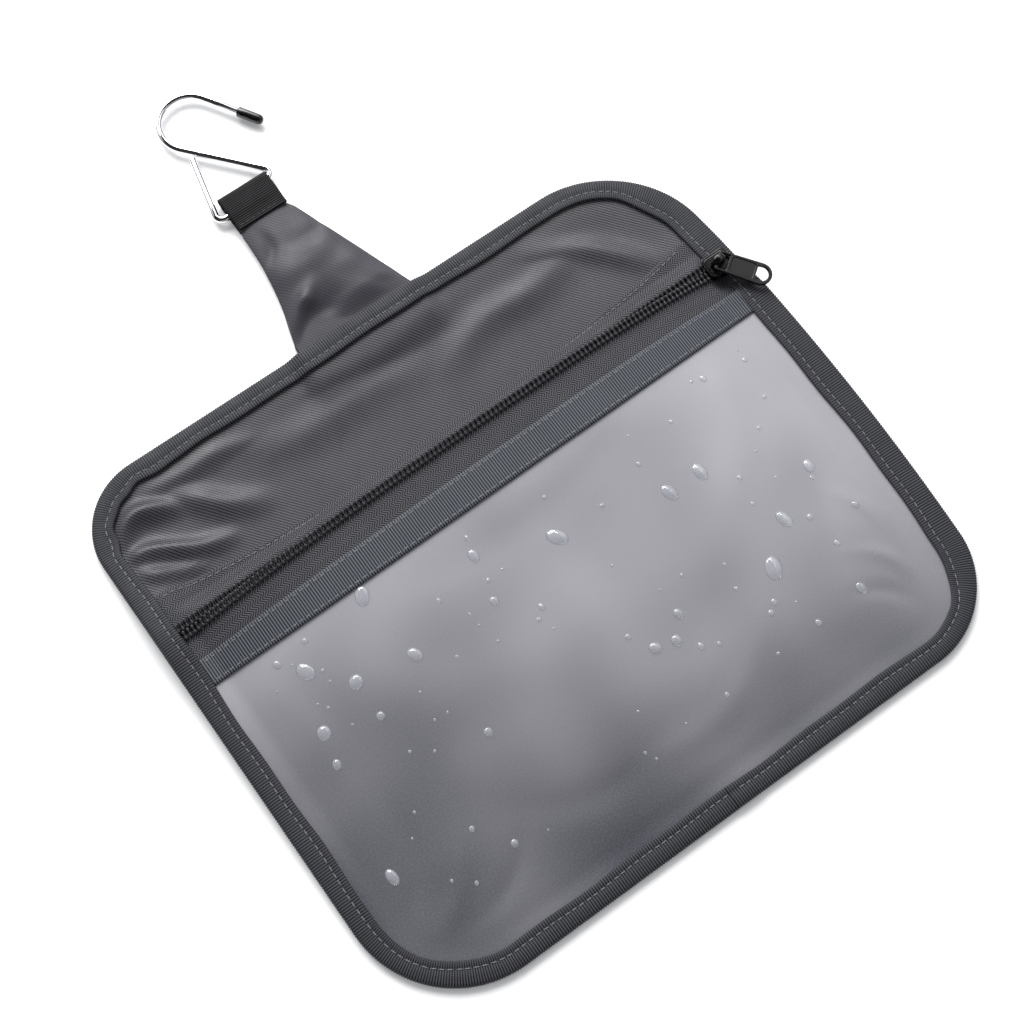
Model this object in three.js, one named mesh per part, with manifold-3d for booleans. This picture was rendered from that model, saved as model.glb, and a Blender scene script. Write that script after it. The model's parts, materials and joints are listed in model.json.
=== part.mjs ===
// Hanging toiletry bag: a flat zipped pouch with a clear front, a fold-over hanging strap and a wire hook.
// Millimetres, +Z up. The pouch lies on its back: origin at the middle of the back, +Y to the hook.
import * as THREE from 'three';
import { mergeVertices } from 'three/addons/utils/BufferGeometryUtils.js';
import Module from 'manifold-3d';

const wasm = await Module();
wasm.setup();

// ---------------------------------------------------------------- driving dimensions
const POUCH = {
  width: 250,
  height: 226,
  cornerTL: 28,
  cornerTR: 40,
  cornerBR: 32,
  cornerBL: 41,
  rightBow: 6.8,
};
const GAP = 0.3;                       // room between touching pieces
const CORNER_STEPS = 6;
const SIDE_STEPS = 6;

const BACK = { thick: 0.8, rimLift: 0.9, rimInset: 2, stepOuter: 11, stepInner: 12 };
const WINDOW = {
  thick: 0.4,
  rimZ: 2.0,
  rimInset: 2,
  freeInset: 11.3,
  topY: 30,
  rows: [0, 0.02, 0.06, 0.12, 0.2, 0.3, 0.42, 0.56, 0.7, 0.85, 1],   // shares of the way up
};
const BINDING = { width: 10.5, thick: 0.6, height: 3.3 };

const ZIP = {
  y: 51,                               // line where the two coils meet, at the slider
  lean: 0.0129,                        // rise of that line per millimetre to the right
  left: -112.7,
  right: 116.8,
  coilWide: 2.8,
  coilHigh: 2.0,
  coilZ: 5.3,
  tapeZ: 5.7,
  tapeThick: 0.5,
  lowerRight: 115.1,                   // the open mouth's coil ends at the slider
};
const MOUTH = { midX: 1, half: 112, lift: 12, steps: 16 };
const BAND = { low: 28.5, high: 39, thick: 0.6, over: 0.6 };
const UPPER_TAPE = { slopeTop: 56.5, slopeFoot: 62.5, end: 68, footZ: 1.1 };

const SLIDER = {
  left: 115.5,
  length: 11,
  halfWide: 4.4,
  bottomZ: 4.2,
  plateThick: 0.9,
  topZ: 7.7,
  flangeThick: 0.9,
  flangeIn: 2,                         // how far the flanges and rounded corners stand in from the ends
  postStart: 0.6,
  postLength: 2.6,
  postWide: 2,
  bite: 0.4,                           // how far joined parts run into each other
  slotLow: 5.4,
  slotHigh: 6.5,
};
const BAIL = { left: 117.8, right: 124.2, wide: 1.0, thick: 1.0, top: 12.45, innerCut: 0.6, outerCut: 1.2 };
const TAB = {
  pivot: new THREE.Vector3(121, ZIP.y, 10.2),
  turn: -54,                           // degrees from +X, seen from above
  droop: 4,
  length: 20.6,
  wide: 8.8,
  endWide: 8.8,
  thick: 1.2,
  bar: 0.7,
  eyeEnd: 3.7,
  arm: 1.2,
  holeStart: 14.6,
  rim: 1.5,
};

const STRAP = {
  hingeY: POUCH.height / 2 + 2.8,
  hingeGap: 0.6,
  ply: 0.8,
  tiltDegrees: 1.03,
  tuckY: 171,
  baseLeft: -23.4,
  baseRight: 25.8,
  topLeft: -13.6,
  topRight: 6.8,
  leftHollow: [new THREE.Vector2(-15.2, 157), new THREE.Vector2(-15.4, 145)],   // curve handles
  rightHollow: new THREE.Vector2(14.2, 143),
};
const LOOP = {
  left: -13.9,
  right: 7.1,
  foot: 167,
  fold: 182.7,
  thick: 0.9,
  high: 5.2,
  lapEnd: 3.8,                         // the upper ply leaves the strap here and
  rampEnd: 7,                          // has risen over the wire here
  foldRound: [1.3, 0.3, 0.8],
};

const HOOK = {
  wire: 1.4,                           // radius
  sides: 10,
  barMiddle: new THREE.Vector3(-3.4, 177.3, 2.6),
  turn: 13.25,
  barLeft: -15.9,                      // the bar's corners, along the bar from its middle
  barRight: 14.8,
  cornerRadius: 2.8,
  shortLegEnd: new THREE.Vector2(-2.4, 27.2),
  bendCentre: new THREE.Vector2(8.05, 38.6),
  bendRadius: 11.8,
  tipTurn: 18.1,                       // where the bend lets go, degrees
  tipLength: 24,
};
const CAP = { length: 10.5, radius: 2.0, bore: 1.7, past: 1.4, start: 14.9 };
const THREAD = { wide: 0.5, high: 0.3 };

// ---------------------------------------------------------------- geometry helpers
const radians = THREE.MathUtils.degToRad;

function signedVolume(position, index) {
  const a = new THREE.Vector3();
  const b = new THREE.Vector3();
  const c = new THREE.Vector3();
  let volume = 0;
  for (let i = 0; i < index.length; i += 3) {
    a.fromArray(position, index[i] * 3);
    b.fromArray(position, index[i + 1] * 3);
    c.fromArray(position, index[i + 2] * 3);
    volume += a.dot(b.cross(c)) / 6;
  }
  return volume;
}

function solidFrom(points, index) {
  const position = points.flatMap((point) => point.toArray());
  if (signedVolume(position, index) < 0) index.reverse();
  const geometry = new THREE.BufferGeometry();
  geometry.setAttribute('position', new THREE.Float32BufferAttribute(position, 3));
  geometry.setIndex(index);
  geometry.computeVertexNormals();
  return geometry;
}

// A closed solid through rings of equal point count. An open run is capped with a fan about each end's middle.
function loft(rings, joined = false) {
  const count = rings[0].length;
  const points = rings.flat();
  const index = [];
  const spans = joined ? rings.length : rings.length - 1;
  for (let ring = 0; ring < spans; ring++) {
    const here = ring * count;
    const next = ((ring + 1) % rings.length) * count;
    for (let i = 0; i < count; i++) {
      const j = (i + 1) % count;
      index.push(here + i, here + j, next + j, here + i, next + j, next + i);
    }
  }
  if (!joined) {
    for (const [ring, flip] of [[0, true], [rings.length - 1, false]]) {
      const middle = points.length;
      const centre = new THREE.Vector3();
      rings[ring].forEach((point) => centre.add(point));
      points.push(centre.divideScalar(count));
      for (let i = 0; i < count; i++) {
        const a = ring * count + i;
        const b = ring * count + ((i + 1) % count);
        index.push(middle, flip ? b : a, flip ? a : b);
      }
    }
  }
  return solidFrom(points, index);
}

// A thin solid on a grid of points, given row by row, with its upper face a fixed height above them.
function sheet(rows, thick) {
  const wide = rows[0].length;
  const under = rows.flat();
  const count = under.length;
  const points = [...under, ...under.map((point) => point.clone().setZ(point.z + thick))];
  const index = [];
  for (let row = 0; row + 1 < rows.length; row++) {
    for (let i = 0; i + 1 < wide; i++) {
      const a = row * wide + i;
      const c = a + wide;
      index.push(a, c + 1, a + 1, a, c, c + 1);
      index.push(count + a, count + a + 1, count + c + 1, count + a, count + c + 1, count + c);
    }
  }
  const last = count - wide;
  const rim = [
    ...Array.from({ length: wide }, (_, i) => i),
    ...Array.from({ length: rows.length - 1 }, (_, row) => (row + 2) * wide - 1),
    ...Array.from({ length: wide - 1 }, (_, i) => last + wide - 2 - i),
    ...Array.from({ length: rows.length - 2 }, (_, row) => last - (row + 1) * wide),
  ];
  rim.forEach((a, i) => {
    const b = rim[(i + 1) % rim.length];
    index.push(a, b, count + b, a, count + b, count + a);
  });
  return solidFrom(points, index);
}

function toSolid(geometry) {
  const plain = geometry.clone();
  plain.deleteAttribute('normal');
  plain.deleteAttribute('uv');
  const merged = mergeVertices(plain, 1e-4);
  return new wasm.Manifold(new wasm.Mesh({
    numProp: 3,
    vertProperties: new Float32Array(merged.attributes.position.array),
    triVerts: new Uint32Array(merged.index.array),
  }));
}

function joinAll(geometries) {
  const solid = geometries.map(toSolid).reduce((sum, next) => sum.add(next));
  const mesh = solid.getMesh();
  const geometry = new THREE.BufferGeometry();
  geometry.setAttribute('position', new THREE.Float32BufferAttribute(mesh.vertProperties, 3));
  geometry.setIndex(Array.from(mesh.triVerts));
  geometry.computeVertexNormals();
  return geometry;
}

function box(x0, x1, y0, y1, z0, z1) {
  const geometry = new THREE.BoxGeometry(x1 - x0, y1 - y0, z1 - z0);
  return geometry.translate((x0 + x1) / 2, (y0 + y1) / 2, (z0 + z1) / 2);
}

// A profile drawn in Y and Z, drawn out along X.
function alongX(profile, x0, x1) {
  const shape = new THREE.Shape(profile.map(([y, z]) => new THREE.Vector2(y, z)));
  const geometry = new THREE.ExtrudeGeometry(shape, { depth: x1 - x0, bevelEnabled: false });
  const axes = new THREE.Matrix4().makeBasis(
    new THREE.Vector3(0, 1, 0), new THREE.Vector3(0, 0, 1), new THREE.Vector3(1, 0, 0));
  return geometry.applyMatrix4(axes).translate(x0, 0, 0);
}

function arc(centre, radius, from, to, steps) {
  return Array.from({ length: steps + 1 }, (_, i) => {
    const angle = radians(from + ((to - from) * i) / steps);
    return new THREE.Vector2(centre.x + radius * Math.cos(angle), centre.y + radius * Math.sin(angle));
  });
}

const atHeight = (points, z) => points.map((point) => new THREE.Vector3(point.x, point.y, z));

// ---------------------------------------------------------------- the pouch outline
const halfW = POUCH.width / 2;
const halfH = POUCH.height / 2;
const rightSide = (y, inset) => halfW + POUCH.rightBow * (1 - (y / halfH) ** 2) - inset;

function corner(signX, signY, radius, inset, from) {
  const centre = new THREE.Vector2(signX * (halfW - radius), signY * (halfH - radius));
  const points = arc(centre, radius - inset, from, from - 90, CORNER_STEPS);
  if (signX < 0) return points;
  return points.map((point) => point.setX(point.x + POUCH.rightBow * (1 - (point.y / halfH) ** 2)));
}

// Clockwise from the upper end of the top right corner.
function outline(inset) {
  const right = [];
  const topRight = corner(1, 1, POUCH.cornerTR, inset, 90);
  const bottomRight = corner(1, -1, POUCH.cornerBR, inset, 0);
  for (let i = 1; i < SIDE_STEPS; i++) {
    const y = THREE.MathUtils.lerp(topRight.at(-1).y, bottomRight[0].y, i / SIDE_STEPS);
    right.push(new THREE.Vector2(rightSide(y, inset), y));
  }
  return [...topRight, ...right, ...bottomRight,
    ...corner(-1, -1, POUCH.cornerBL, inset, -90), ...corner(-1, 1, POUCH.cornerTL, inset, 180)];
}

// The left and right edges of the pouch's lower part at a height y, at a given inset.
function span(y, inset) {
  const reach = (radius) => {
    const over = Math.max(radius - halfH - y, 0);
    return halfW - radius + Math.sqrt((radius - inset) ** 2 - over ** 2);
  };
  const bow = POUCH.rightBow * (1 - (y / halfH) ** 2);
  return [-reach(POUCH.cornerBL), reach(POUCH.cornerBR) + bow];
}

// Height of the front above the hem, where the open mouth arches up and the window swells.
function crown(x) {
  const u = Math.min(Math.abs(x - MOUTH.midX) / MOUTH.half, 1);
  return (1 - u * u) * (1 + u * u / 2);
}
function frontZ(x, y) {
  const start = -halfH + WINDOW.freeInset;
  const t = THREE.MathUtils.clamp((y - start) / (BAND.low - start), 0, 1);
  const lip = THREE.MathUtils.clamp((y - WINDOW.topY) / (ZIP.y - ZIP.coilWide - WINDOW.topY), 0, 1);
  const rise = 1 - (1 - t) ** 2.2;
  return WINDOW.rimZ + lip * (ZIP.tapeZ - WINDOW.rimZ) + MOUTH.lift * crown(x) * rise;
}

// The zipper runs a little uphill to the right, by this much in Y at each X.
const leanAt = (x) => ZIP.lean * (x - TAB.pivot.x);
function lean(geometry) {
  const position = geometry.attributes.position;
  for (let i = 0; i < position.count; i++) position.setY(i, position.getY(i) + leanAt(position.getX(i)));
  geometry.computeVertexNormals();
  return geometry;
}

// Points on the front from left to right at a height y, with a margin at each end that stays flat.
function across(left, right, y, margin = 0) {
  const inner = Array.from({ length: MOUTH.steps + 1 }, (_, i) => (
    THREE.MathUtils.lerp(left + margin, right - margin, i / MOUTH.steps)));
  const places = margin > 0 ? [left, ...inner, right] : inner;
  return places.map((x) => new THREE.Vector3(x, y, frontZ(x, y)));
}

// ---------------------------------------------------------------- soft pieces of the pouch
function backPanel() {
  const top = BACK.rimLift + BACK.thick;
  return loft([
    atHeight(outline(BACK.stepInner), BACK.thick),
    atHeight(outline(BACK.stepOuter), top),
    atHeight(outline(BACK.rimInset), top),
    atHeight(outline(BACK.rimInset), BACK.rimLift),
    atHeight(outline(BACK.stepOuter), BACK.rimLift),
    atHeight(outline(BACK.stepInner), 0),
  ]);
}

function windowPanel() {
  const low = WINDOW.rimInset - halfH;
  const rows = WINDOW.rows.map((share) => {
    const y = THREE.MathUtils.lerp(low, WINDOW.topY, share);
    const [left, right] = span(y, WINDOW.rimInset);
    const row = across(left, right, y, WINDOW.freeInset - WINDOW.rimInset);
    return row.map((point) => point.setY(y + share * leanAt(point.x)));
  });
  return sheet(rows, WINDOW.thick);
}

function bindingTape() {
  const { width, thick, height } = BINDING;
  const section = [[width, 0], [1, 0], [0, 1], [0, height - 1], [1, height], [width, height],
    [width, height - thick], [thick + 0.4, height - thick], [thick, height - thick - 0.4],
    [thick, thick + 0.4], [thick + 0.4, thick], [width, thick]];
  return loft(section.map(([inset, z]) => atHeight(outline(inset), z)), true);
}

// A strip that follows the front along the mouth, from y0 to y1, raised over it.
function mouthStrip(y0, y1, over, thick, left, right) {
  const rows = [y0, y1].map((y) => across(left, right, y));
  return lean(sheet(rows, thick).translate(0, 0, over));
}

function zipperBand() {
  const under = WINDOW.thick + BAND.over;
  return mouthStrip(BAND.low, BAND.high, under, BAND.thick, ZIP.left, ZIP.right);
}

function zipperTapeLower() {
  const top = ZIP.y - GAP - ZIP.coilWide - GAP;
  return mouthStrip(WINDOW.topY + 2, top, 0, ZIP.tapeThick, ZIP.left, ZIP.lowerRight);
}

function coilLower() {
  const high = ZIP.y - GAP;
  const under = ZIP.coilZ - ZIP.tapeZ;
  return mouthStrip(high - ZIP.coilWide, high, under, ZIP.coilHigh, ZIP.left, ZIP.lowerRight);
}

function coilUpper() {
  const low = ZIP.y + GAP;
  return lean(box(ZIP.left, ZIP.right, low, low + ZIP.coilWide, ZIP.coilZ, ZIP.coilZ + ZIP.coilHigh));
}

function zipperTapeUpper() {
  const start = ZIP.y + GAP + ZIP.coilWide + GAP;
  const { slopeTop, slopeFoot, end, footZ } = UPPER_TAPE;
  const thick = ZIP.tapeThick;
  return lean(alongX([[start, ZIP.tapeZ], [slopeTop, ZIP.tapeZ], [slopeFoot, footZ], [end, footZ],
    [end, footZ + thick], [slopeFoot + thick / 2, footZ + thick], [slopeTop + thick / 2, ZIP.tapeZ + thick],
    [start, ZIP.tapeZ + thick]], ZIP.left, ZIP.right));
}

// ---------------------------------------------------------------- seam threads
function bindingThread() {
  const inset = BINDING.width - 2.6;
  const low = BINDING.height + GAP;
  const section = [[inset, low], [inset - THREAD.wide, low],
    [inset - THREAD.wide, low + THREAD.high], [inset, low + THREAD.high]];
  return loft(section.map(([depth, z]) => atHeight(outline(depth), z)), true);
}

function bandThread(y) {
  const over = WINDOW.thick + BAND.over + BAND.thick + GAP;
  return mouthStrip(y, y + THREAD.wide, over, THREAD.high, ZIP.left, ZIP.right);
}

function tapeThread() {
  const y = UPPER_TAPE.end - 2;
  const low = UPPER_TAPE.footZ + ZIP.tapeThick + GAP;
  return lean(box(ZIP.left, ZIP.right, y, y + THREAD.wide, low, low + THREAD.high));
}

function loopThread() {
  const low = LOOP.high - LOOP.thick + GAP;
  return box(LOOP.left + 1, LOOP.right - 1, LOOP.foot + 1.5, LOOP.foot + 2, low, low + THREAD.high);
}

// ---------------------------------------------------------------- slider, bail and pull tab
function sliderPlate(z) {
  const { left, length, halfWide, plateThick, flangeIn } = SLIDER;
  const right = left + length;
  const shape = new THREE.Shape();
  shape.moveTo(left + flangeIn, -halfWide);
  shape.lineTo(right - flangeIn, -halfWide);
  shape.quadraticCurveTo(right, -halfWide, right, -halfWide + flangeIn);
  shape.lineTo(right, halfWide - flangeIn);
  shape.quadraticCurveTo(right, halfWide, right - flangeIn, halfWide);
  shape.lineTo(left + flangeIn, halfWide);
  shape.lineTo(left, halfWide - flangeIn / 2);
  shape.lineTo(left, flangeIn / 2 - halfWide);
  const options = { depth: plateThick, bevelEnabled: false, curveSegments: 4 };
  return new THREE.ExtrudeGeometry(shape, options).translate(0, ZIP.y, z);
}

// Two plates joined by a post between the coils, with side flanges that leave a slot for the tapes.
function sliderBody() {
  const { left, length, halfWide, bottomZ, topZ, flangeThick, flangeIn, bite, slotLow, slotHigh } = SLIDER;
  const flange = (side, z0, z1) => {
    const edges = [side * (halfWide - flangeThick), side * halfWide].sort((a, b) => a - b);
    return box(left + flangeIn, left + length - flangeIn, ZIP.y + edges[0], ZIP.y + edges[1], z0, z1);
  };
  const flanges = [-1, 1].flatMap((side) => [
    flange(side, bottomZ + bite, slotLow), flange(side, slotHigh, topZ + bite)]);
  const postLeft = left + SLIDER.postStart;
  const post = box(postLeft, postLeft + SLIDER.postLength, ZIP.y - SLIDER.postWide, ZIP.y,
    bottomZ + bite, topZ + bite);
  return joinAll([sliderPlate(bottomZ), sliderPlate(topZ), post, ...flanges]);
}

// A square staple that stands on the slider's top plate.
function sliderBail() {
  const foot = SLIDER.topZ + SLIDER.plateThick + GAP;
  const { left, right, thick, top, wide, innerCut, outerCut } = BAIL;
  const inLeft = left + thick;
  const inRight = right - thick;
  const inTop = top - thick;
  const shape = new THREE.Shape([
    [left, foot], [inLeft, foot], [inLeft, inTop - innerCut], [inLeft + innerCut, inTop],
    [inRight - innerCut, inTop], [inRight, inTop - innerCut], [inRight, foot], [right, foot],
    [right, top - outerCut], [right - outerCut, top], [left + outerCut, top], [left, top - outerCut],
  ].map(([x, z]) => new THREE.Vector2(x, z)));
  const geometry = new THREE.ExtrudeGeometry(shape, { depth: wide, bevelEnabled: false });
  return geometry.rotateX(Math.PI / 2).translate(0, ZIP.y + wide / 2, 0);
}

// The tab lies along its own +X from the pivot bar; the eye takes the bail, the far end is an open ring.
function pullTab() {
  const { length, wide, endWide, thick, bar, eyeEnd, arm, holeStart, rim } = TAB;
  const half = wide / 2;
  const endHalf = endWide / 2;
  const shape = new THREE.Shape();
  shape.moveTo(-bar, -half);
  shape.lineTo(length - endHalf, -endHalf);
  shape.absarc(length - endHalf, 0, endHalf, -Math.PI / 2, Math.PI / 2, false);
  shape.lineTo(-bar, half);
  const eye = new THREE.Path([[bar, -half + arm], [bar, half - arm], [eyeEnd, half - arm], [eyeEnd, -half + arm]]
    .map(([x, y]) => new THREE.Vector2(x, y)));
  const ring = new THREE.Path();
  ring.moveTo(holeStart, -endHalf + rim);
  ring.lineTo(holeStart, endHalf - rim);
  ring.lineTo(length - endHalf, endHalf - rim);
  ring.absarc(length - endHalf, 0, endHalf - rim, Math.PI / 2, -Math.PI / 2, true);
  shape.holes.push(eye, ring);
  const geometry = new THREE.ExtrudeGeometry(shape, { depth: thick, bevelEnabled: false, curveSegments: 8 });
  return geometry.translate(0, 0, -thick / 2);
}

// ---------------------------------------------------------------- strap, webbing loop, hook
function strapPly() {
  const start = STRAP.hingeY + STRAP.hingeGap;
  const shape = new THREE.Shape();
  shape.moveTo(STRAP.baseLeft, start);
  shape.lineTo(STRAP.baseRight, start);
  shape.quadraticCurveTo(STRAP.rightHollow.x, STRAP.rightHollow.y, STRAP.topRight, LOOP.foot);
  shape.lineTo(STRAP.topRight, STRAP.tuckY);
  shape.lineTo(STRAP.topLeft, STRAP.tuckY);
  shape.lineTo(STRAP.topLeft, LOOP.foot);
  const [upper, lower] = STRAP.leftHollow;
  shape.bezierCurveTo(upper.x, upper.y, lower.x, lower.y, STRAP.baseLeft, start);
  return new THREE.ExtrudeGeometry(shape, { depth: STRAP.ply, bevelEnabled: false, curveSegments: 6 });
}

// One ply folded back over the hook's bar, open at its foot where the strap's end is sewn in.
function webbingLoop() {
  const { foot, fold, thick, high, left, right, lapEnd, rampEnd } = LOOP;
  const [long, short, rise] = LOOP.foldRound;
  const middle = high / 2;
  const roof = high - thick;
  const inner = fold - thick;
  return alongX([
    [foot, 0], [fold - long, 0], [fold - short, rise], [fold, middle], [fold - short, high - rise],
    [fold - long, high], [foot + rampEnd, high], [foot + lapEnd, roof], [foot, roof],
    [foot, roof - thick], [foot + lapEnd + GAP, roof - thick], [foot + rampEnd + GAP, roof],
    [inner - rise, roof], [inner - GAP / 2, roof - rise], [inner, middle],
    [inner - GAP / 2, thick + rise], [inner - rise, thick], [foot, thick],
  ], left, right);
}

// A bend of the wire at a corner between two straight runs.
function wireCorner(point, before, after) {
  const inward = before.clone().sub(point).normalize();
  const outward = after.clone().sub(point).normalize();
  const halfAngle = Math.acos(inward.dot(outward)) / 2;
  const towards = inward.clone().add(outward).normalize();
  const centre = point.clone().addScaledVector(towards, HOOK.cornerRadius / Math.sin(halfAngle));
  const reach = HOOK.cornerRadius / Math.tan(halfAngle);
  const first = point.clone().addScaledVector(inward, reach).sub(centre);
  const last = point.clone().addScaledVector(outward, reach).sub(centre);
  const from = THREE.MathUtils.radToDeg(first.angle());
  let sweep = THREE.MathUtils.radToDeg(last.angle()) - from;
  if (sweep > 180) sweep -= 360;
  if (sweep < -180) sweep += 360;
  return arc(centre, HOOK.cornerRadius, from, from + sweep, 5);
}

const tipWay = new THREE.Vector2(
  Math.sin(radians(HOOK.tipTurn)), -Math.cos(radians(HOOK.tipTurn)));
const bendEnd = HOOK.bendCentre.clone().add(new THREE.Vector2(
  Math.cos(radians(HOOK.tipTurn)), Math.sin(radians(HOOK.tipTurn))).multiplyScalar(HOOK.bendRadius));

function hookPath() {
  const leftCorner = new THREE.Vector2(HOOK.barLeft, 0);
  const rightCorner = new THREE.Vector2(HOOK.barRight, 0);
  const toBend = HOOK.bendCentre.clone().sub(rightCorner);
  const legTurn = toBend.angle() + Math.asin(HOOK.bendRadius / toBend.length());
  const legWay = new THREE.Vector2(Math.cos(legTurn), Math.sin(legTurn));
  const bendStart = THREE.MathUtils.radToDeg(legTurn) + 90;
  return [
    HOOK.shortLegEnd,
    ...wireCorner(leftCorner, HOOK.shortLegEnd, rightCorner),
    ...wireCorner(rightCorner, leftCorner, rightCorner.clone().add(legWay)),
    ...arc(HOOK.bendCentre, HOOK.bendRadius, bendStart, HOOK.tipTurn, 12),
    bendEnd.clone().addScaledVector(tipWay, HOOK.tipLength),
  ];
}

function hookWire() {
  const path = hookPath();
  return loft(path.map((point, i) => {
    const before = path[Math.max(i - 1, 0)];
    const after = path[Math.min(i + 1, path.length - 1)];
    const along = after.clone().sub(before).normalize();
    return Array.from({ length: HOOK.sides }, (_, k) => {
      const angle = (2 * Math.PI * k) / HOOK.sides;
      const side = HOOK.wire * Math.cos(angle);
      return new THREE.Vector3(point.x - along.y * side, point.y + along.x * side, HOOK.wire * Math.sin(angle));
    });
  }));
}

// A soft cup with a round end, turned about +Y and open at its foot.
function tipCap() {
  const { length, radius, bore, past } = CAP;
  const profile = [[0, length], [radius * 0.6, length - 0.45], [radius, length - 1.7], [radius, 0],
    [bore, 0], [bore, length - past], [0, length - past]];
  return new THREE.LatheGeometry(profile.map(([r, y]) => new THREE.Vector2(r, y)).reverse(), 12);
}

// ---------------------------------------------------------------- colours
function finish(color, roughness, metalness = 0) {
  return new THREE.MeshStandardMaterial({ color, roughness, metalness });
}
const charcoal = finish(0x35353a, 0.85);
const slate = finish(0x55535c, 0.8);
const blackTape = finish(0x1c1c20, 0.85);
const blackNylon = finish(0x0d0d0f, 0.4);
const milky = finish(0xa9a9b5, 0.35);
const blackPaint = finish(0x0a0a0b, 0.3, 0.6);
const steel = finish(0xd8d8dc, 0.12, 1);
const vinyl = finish(0x08080a, 0.25);
const greyThread = finish(0x77777e, 0.8);

// ---------------------------------------------------------------- assembly
function piece(name, geometry, material, parent) {
  const mesh = new THREE.Mesh(geometry, material.clone());
  mesh.name = name;
  parent.add(mesh);
  return mesh;
}

const bag = new THREE.Group();

piece('back_panel', backPanel(), charcoal, bag);
piece('window_panel', windowPanel(), milky, bag);
piece('binding_tape', bindingTape(), charcoal, bag);
piece('zipper_tape_upper', zipperTapeUpper(), blackTape, bag);
piece('zipper_tape_lower', zipperTapeLower(), blackTape, bag);
piece('zipper_coil_upper', coilUpper(), blackNylon, bag);
piece('zipper_coil_lower', coilLower(), blackNylon, bag);
piece('zipper_band', zipperBand(), charcoal, bag);
piece('binding_thread', bindingThread(), greyThread, bag);
piece('band_thread_lower', bandThread(BAND.low + 1), greyThread, bag);
piece('band_thread_upper', bandThread(BAND.high - 2), greyThread, bag);
piece('upper_tape_thread', tapeThread(), greyThread, bag);

piece('slider_body', sliderBody(), blackPaint, bag);
piece('slider_bail', sliderBail(), blackPaint, bag);
const tab = piece('pull_tab', pullTab(), blackPaint, bag);
tab.position.copy(TAB.pivot);
tab.rotation.set(0, radians(TAB.droop), radians(TAB.turn), 'ZYX');

// The strap's two plies rise a little from the hem to the webbing loop.
const strap = new THREE.Group();
strap.position.set(0, LOOP.foot + 2, LOOP.thick + GAP);
strap.rotation.x = radians(STRAP.tiltDegrees);
bag.add(strap);
const backPly = piece('strap_back_ply', strapPly(), slate, strap);
backPly.position.set(0, -strap.position.y, 0);
const frontPly = piece('strap_front_ply', strapPly(), slate, strap);
frontPly.position.set(0, -strap.position.y, STRAP.ply + GAP);

piece('webbing_loop', webbingLoop(), blackTape, bag);
piece('loop_thread', loopThread(), greyThread, bag);

const hook = new THREE.Group();
hook.position.copy(HOOK.barMiddle);
hook.rotation.z = radians(HOOK.turn);
bag.add(hook);
piece('hook_wire', hookWire(), steel, hook);
const cap = piece('hook_tip_cap', tipCap(), vinyl, hook);
const capStart = bendEnd.clone().addScaledVector(tipWay, CAP.start);
cap.position.set(capStart.x, capStart.y, 0);
cap.rotation.z = tipWay.angle() - Math.PI / 2;

export default bag;
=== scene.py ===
"""The looks of the hanging toiletry bag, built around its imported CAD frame. Lengths here are in millimetres
until a mesh is made; +X runs along the zipper, +Y to the hook and +Z out of the clear front."""

import json
import math
import random

import bmesh
import bpy
import numpy as np
from mathutils import Matrix, Vector


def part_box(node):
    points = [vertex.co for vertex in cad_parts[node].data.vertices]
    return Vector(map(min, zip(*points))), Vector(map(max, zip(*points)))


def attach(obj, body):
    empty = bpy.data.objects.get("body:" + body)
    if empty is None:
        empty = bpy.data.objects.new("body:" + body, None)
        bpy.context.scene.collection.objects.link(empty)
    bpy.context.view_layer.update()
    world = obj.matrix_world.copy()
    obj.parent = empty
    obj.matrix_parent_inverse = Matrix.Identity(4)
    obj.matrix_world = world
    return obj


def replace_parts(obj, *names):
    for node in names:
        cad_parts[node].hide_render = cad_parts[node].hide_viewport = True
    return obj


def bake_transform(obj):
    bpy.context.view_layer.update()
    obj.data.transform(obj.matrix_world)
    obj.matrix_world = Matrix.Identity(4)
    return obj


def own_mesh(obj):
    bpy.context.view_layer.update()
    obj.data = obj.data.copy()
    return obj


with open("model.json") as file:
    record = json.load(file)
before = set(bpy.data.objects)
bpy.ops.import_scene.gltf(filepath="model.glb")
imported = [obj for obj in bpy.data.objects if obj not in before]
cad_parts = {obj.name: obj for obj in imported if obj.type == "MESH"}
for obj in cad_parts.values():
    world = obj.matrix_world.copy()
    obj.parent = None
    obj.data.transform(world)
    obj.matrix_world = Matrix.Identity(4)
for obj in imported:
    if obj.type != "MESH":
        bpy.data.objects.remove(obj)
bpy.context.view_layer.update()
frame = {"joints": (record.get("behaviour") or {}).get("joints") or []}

MM = 0.001
WEAVE = "weave"                    # the UV map that holds each fabric's own millimetres
RNG = np.random.default_rng(7)


# ---- sizes, from the frame where it has them
def box_mm(node):
    low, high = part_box(node)
    return np.array(low) / MM, np.array(high) / MM


def joint(name):
    return next(j for j in frame["joints"] if j["name"] == name)


RIM_LOW, RIM_HIGH = box_mm("binding_tape")
HALF_H = RIM_HIGH[1]
HALF_W = -RIM_LOW[0]
BOW = RIM_HIGH[0] - HALF_W         # how far the right side bows out at its middle
CORNERS = {"top_right": 40, "bottom_right": 32, "bottom_left": 41, "top_left": 28}
LAP_X = 4.5                        # where the binding's ends lap
HEM_HIGH = RIM_HIGH[2]

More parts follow.
